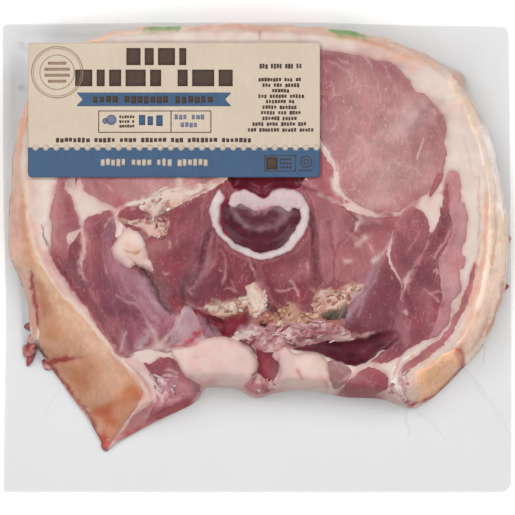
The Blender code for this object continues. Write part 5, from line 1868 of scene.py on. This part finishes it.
def add_small_blocks(bm, x0, x1, y0, y1, draw, pitch):
    """A row of small upright blocks in uneven groups."""
    at = x0
    left_in_group = draw.integers(3, 9)
    while at + pitch * 0.8 < x1:
        high = draw.uniform(0.0, 0.18) * (y1 - y0)
        low = draw.uniform(0.0, 0.18) * (y1 - y0)
        width = pitch * draw.uniform(0.62, 0.82)
        add_bar(bm, at, y0 + high, min(at + width, x1), y1 - low)
        left_in_group -= 1
        at += pitch if left_in_group else pitch * 1.9
        if not left_in_group:
            left_in_group = draw.integers(3, 9)


def add_blocks(bm, x0, y0, y1, widths, gap):
    """A row of heavy plain blocks."""
    for width in widths:
        add_bar(bm, x0, y0, x0 + width, y1)
        x0 += width + gap


def print_on_label(name, bm, finish, layer):
    """Lays flat ink on the paper as a thin closed film of its own."""
    for vertex, height in zip(bm.verts, label_level(plan_of(bm.verts))):
        vertex.co.z = height + layer * 2 * INK_THICKNESS
    mesh = new_mesh(name, bm)
    for polygon in mesh.polygons:
        if polygon.normal.z < 0:
            mesh.flip_normals()
            break
    piece = new_piece(name, mesh, finish, "label")
    thicken(piece, INK_THICKNESS)


class CHOP_OT_print_label(bpy.types.Operator):
    """Prints the label: a scalloped band, a ribbon, frames and rows of plain blocks"""

    bl_idname = "chop.print_label"
    bl_label = "Label print"

    def execute(self, context):
        colours = context.scene.label_colours
        draw = np.random.default_rng(21)
        blue, brown, pale, faint, slate = (bmesh.new() for _ in range(5))
        band = [(29, 148), (319.8, 148), (319.8, 174.5), (318.8, 176.8), (316.5, 177.7),
                (32.5, 177.7), (30, 176.8), (29, 174.5)]
        lay_sheet(blue, on_sheet(band), LABEL_CELL)
        ribbon = [(77, 93.3), (231.7, 93.3), (225.3, 100.1), (231.7, 106.9),
                  (77, 106.9), (83.4, 100.1)]
        lay_sheet(blue, on_sheet(ribbon), RIBBON_CELL)
        for step in range(28):
            add_disc(pale, 36.5 + 10.36 * step, 148, 3.1)
        add_blocks(brown, 127, 49, 66, (14, 9, 17, 7), 4.2)
        add_blocks(brown, 76, 70.5, 87, (17, 8, 12, 20, 11), 4.4)
        add_blocks(brown, 178, 70.5, 87, (10, 22, 14), 4.4)
        add_small_blocks(brown, 94, 219, 96.6, 104.2, draw, 6.4)
        add_frame(brown, 99, 111.2, 211.5, 133.3, 0.8)
        add_bar(brown, 171, 112, 171.9, 132.6)
        for row in range(3):
            add_small_blocks(brown, 120, 136.5, 116 + 4.6 * row, 119 + 4.6 * row, draw, 2.6)
        add_small_blocks(slate, 175, 207, 115, 120.5, draw, 4.4)
        add_small_blocks(slate, 181, 202, 122.5, 128, draw, 4.4)
        add_small_blocks(blue, 139.5, 168.5, 115.5, 127.5, draw, 8.6)
        add_disc(slate, 112, 120.5, 5.2, 20)
        add_disc(slate, 106, 121.5, 3.0, 16)
        add_small_blocks(brown, 57, 255.5, 138.2, 143, draw, 4.3)
        add_small_blocks(pale, 101.5, 209, 159, 166.8, draw, 5.2)
        rows = ((259.5, 303.5, 64.5, 69.8), (258.5, 303, 78.5, 82.5),
                (262.5, 300.5, 84, 88), (272, 290.5, 89.6, 93.4),
                (258.5, 304.5, 95, 99), (266, 296, 100.4, 104.2),
                (262.5, 300, 106, 110), (261, 302, 111.4, 115.2),
                (262.5, 300, 117, 121), (252.5, 308.5, 122.6, 126.6),
                (248, 315.5, 128.6, 132.6))
        for x0, x1, y0, y1 in rows:
            add_small_blocks(brown, x0, x1, y0, y1, draw, 2.9)
        add_frame(brown, 264, 155.8, 295.8, 171.8, 0.8)
        add_bar(brown, 266, 157.8, 277.5, 169.8)
        for row in range(3):
            add_small_blocks(brown, 280, 293.5, 158.5 + 4 * row, 161 + 4 * row, draw, 3.0)
        add_ring(brown, 306, 162, 6.0, 1.1, 24)
        add_ring(brown, 306, 162, 2.8, 0.9, 20)
        add_small_blocks(brown, 299, 313, 170, 171.8, draw, 2.2)
        add_ring(faint, 58, 73, 26, 0.7)
        add_ring(faint, 58, 73, 24, 0.4)
        add_ring(faint, 58, 73, 17.5, 0.6)
        for y, half in ((64, 9), (70, 12.5), (76, 12.5), (82, 9)):
            add_bar(faint, 58 - half, y - 1.4, 58 + half, y + 1.4)
        inks = (
            ("print_blue", blue, colours.blue, 1),
            ("print_brown", brown, colours.brown, 3),
            ("print_pale", pale, colours.paper, 2),
            ("print_faint", faint, colours.faint, 4),
            ("print_slate", slate, colours.slate, 2),
        )
        for name, bm, colour, layer in inks:
            print_on_label(name, bm, paper_finish(name, colour, 0.06), layer)
        return {"FINISHED"}


class CHOP_OT_make_stage(bpy.types.Operator):
    """Sets the pale floor, the soft lights and the camera above the pack"""

    bl_idname = "chop.make_stage"
    bl_label = "Stage"

    def execute(self, context):
        scene = context.scene
        bm = bmesh.new()
        bmesh.ops.create_grid(bm, x_segments=8, y_segments=8, size=1.5)
        floor = bpy.data.objects.new("floor", new_mesh("floor", bm))
        scene.collection.objects.link(floor)
        material, _, link = shader("pale_floor", 0.8, 0.1)
        link((0.93, 0.93, 0.93, 1), "Base Color")
        floor.data.materials.append(material)
        floor.location.z = -0.5 * MM
        world = bpy.data.worlds.new("soft_room")
        world.use_nodes = True
        nodes, links = world.node_tree.nodes, world.node_tree.links
        place = nodes.new("ShaderNodeTexCoord")
        split = nodes.new("ShaderNodeSeparateXYZ")
        dim = nodes.new("ShaderNodeMapRange")
        dim.inputs["From Max"].default_value = 0.8
        dim.inputs["To Min"].default_value = 1.45
        dim.inputs["To Max"].default_value = 0.12
        links.new(place.outputs["Generated"], split.inputs["Vector"])
        links.new(split.outputs["Z"], dim.inputs["Value"])
        links.new(dim.outputs["Result"], nodes["Background"].inputs["Strength"])
        scene.world = world
        for turn, energy in LAMPS:
            lamp = bpy.data.lights.new("softbox", "AREA")
            lamp.shape = "SQUARE"
            lamp.size = LAMP_SIZE
            lamp.energy = energy
            box = bpy.data.objects.new("softbox", lamp)
            angle = math.radians(turn)
            spot = Vector((math.cos(angle), math.sin(angle), LAMP_SLOPE))
            box.location = spot * LAMP_REACH
            box.rotation_euler = spot.to_track_quat("Z", "Y").to_euler()
            scene.collection.objects.link(box)
        lens = bpy.data.cameras.new("camera")
        camera = bpy.data.objects.new("camera", lens)
        lens.sensor_width = SENSOR_WIDTH
        middle = on_sheet([SHEET_WIDTH / 2, SHEET_WIDTH / 2])[0]
        camera.location = (*middle, CAMERA_HEIGHT)
        lens.lens = SENSOR_WIDTH * CAMERA_HEIGHT / (SHEET_WIDTH * SHEET_UNIT)
        lens.clip_end = 4 * CAMERA_HEIGHT
        scene.collection.objects.link(camera)
        scene.camera = camera
        scene.view_settings.view_transform = "Standard"
        return {"FINISHED"}


OPERATORS = (
    CHOP_OT_make_bed,
    CHOP_OT_make_skin,
    CHOP_OT_make_tissue,
    CHOP_OT_make_muscles,
    CHOP_OT_make_backbone,
    CHOP_OT_make_fat,
    CHOP_OT_make_scraps,
    CHOP_OT_make_knobs,
    CHOP_OT_make_film,
    CHOP_OT_crease_film,
    CHOP_OT_make_label,
    CHOP_OT_print_label,
    CHOP_OT_make_stage,
)


class CHOP_PT_pieces(bpy.types.Panel):
    """Lists the pieces of the pack"""

    bl_idname = "CHOP_PT_pieces"
    bl_label = "Vacuum packed chop"
    bl_space_type = "VIEW_3D"
    bl_region_type = "UI"
    bl_category = "Chop"

    def draw(self, context):
        for group in ("chop_sizes", "film_sizes", "label_colours"):
            settings = getattr(context.scene, group)
            for name in settings.__annotations__:
                self.layout.prop(settings, name)
        for operator in OPERATORS:
            self.layout.operator(operator.bl_idname)


CLASSES = (ChopSizes, FilmSizes, LabelColours, *OPERATORS, CHOP_PT_pieces)


def register():
    for kind in CLASSES:
        bpy.utils.register_class(kind)
    bpy.types.Scene.chop_sizes = PointerProperty(type=ChopSizes)
    bpy.types.Scene.film_sizes = PointerProperty(type=FilmSizes)
    bpy.types.Scene.label_colours = PointerProperty(type=LabelColours)


def unregister():
    del bpy.types.Scene.chop_sizes
    del bpy.types.Scene.film_sizes
    del bpy.types.Scene.label_colours
    for kind in reversed(CLASSES):
        bpy.utils.unregister_class(kind)


def main():
    register()
    for operator in OPERATORS:
        group, name = operator.bl_idname.split(".")
        getattr(getattr(bpy.ops, group), name)()
    bpy.context.view_layer.update()


if __name__ == "__main__":
    main()
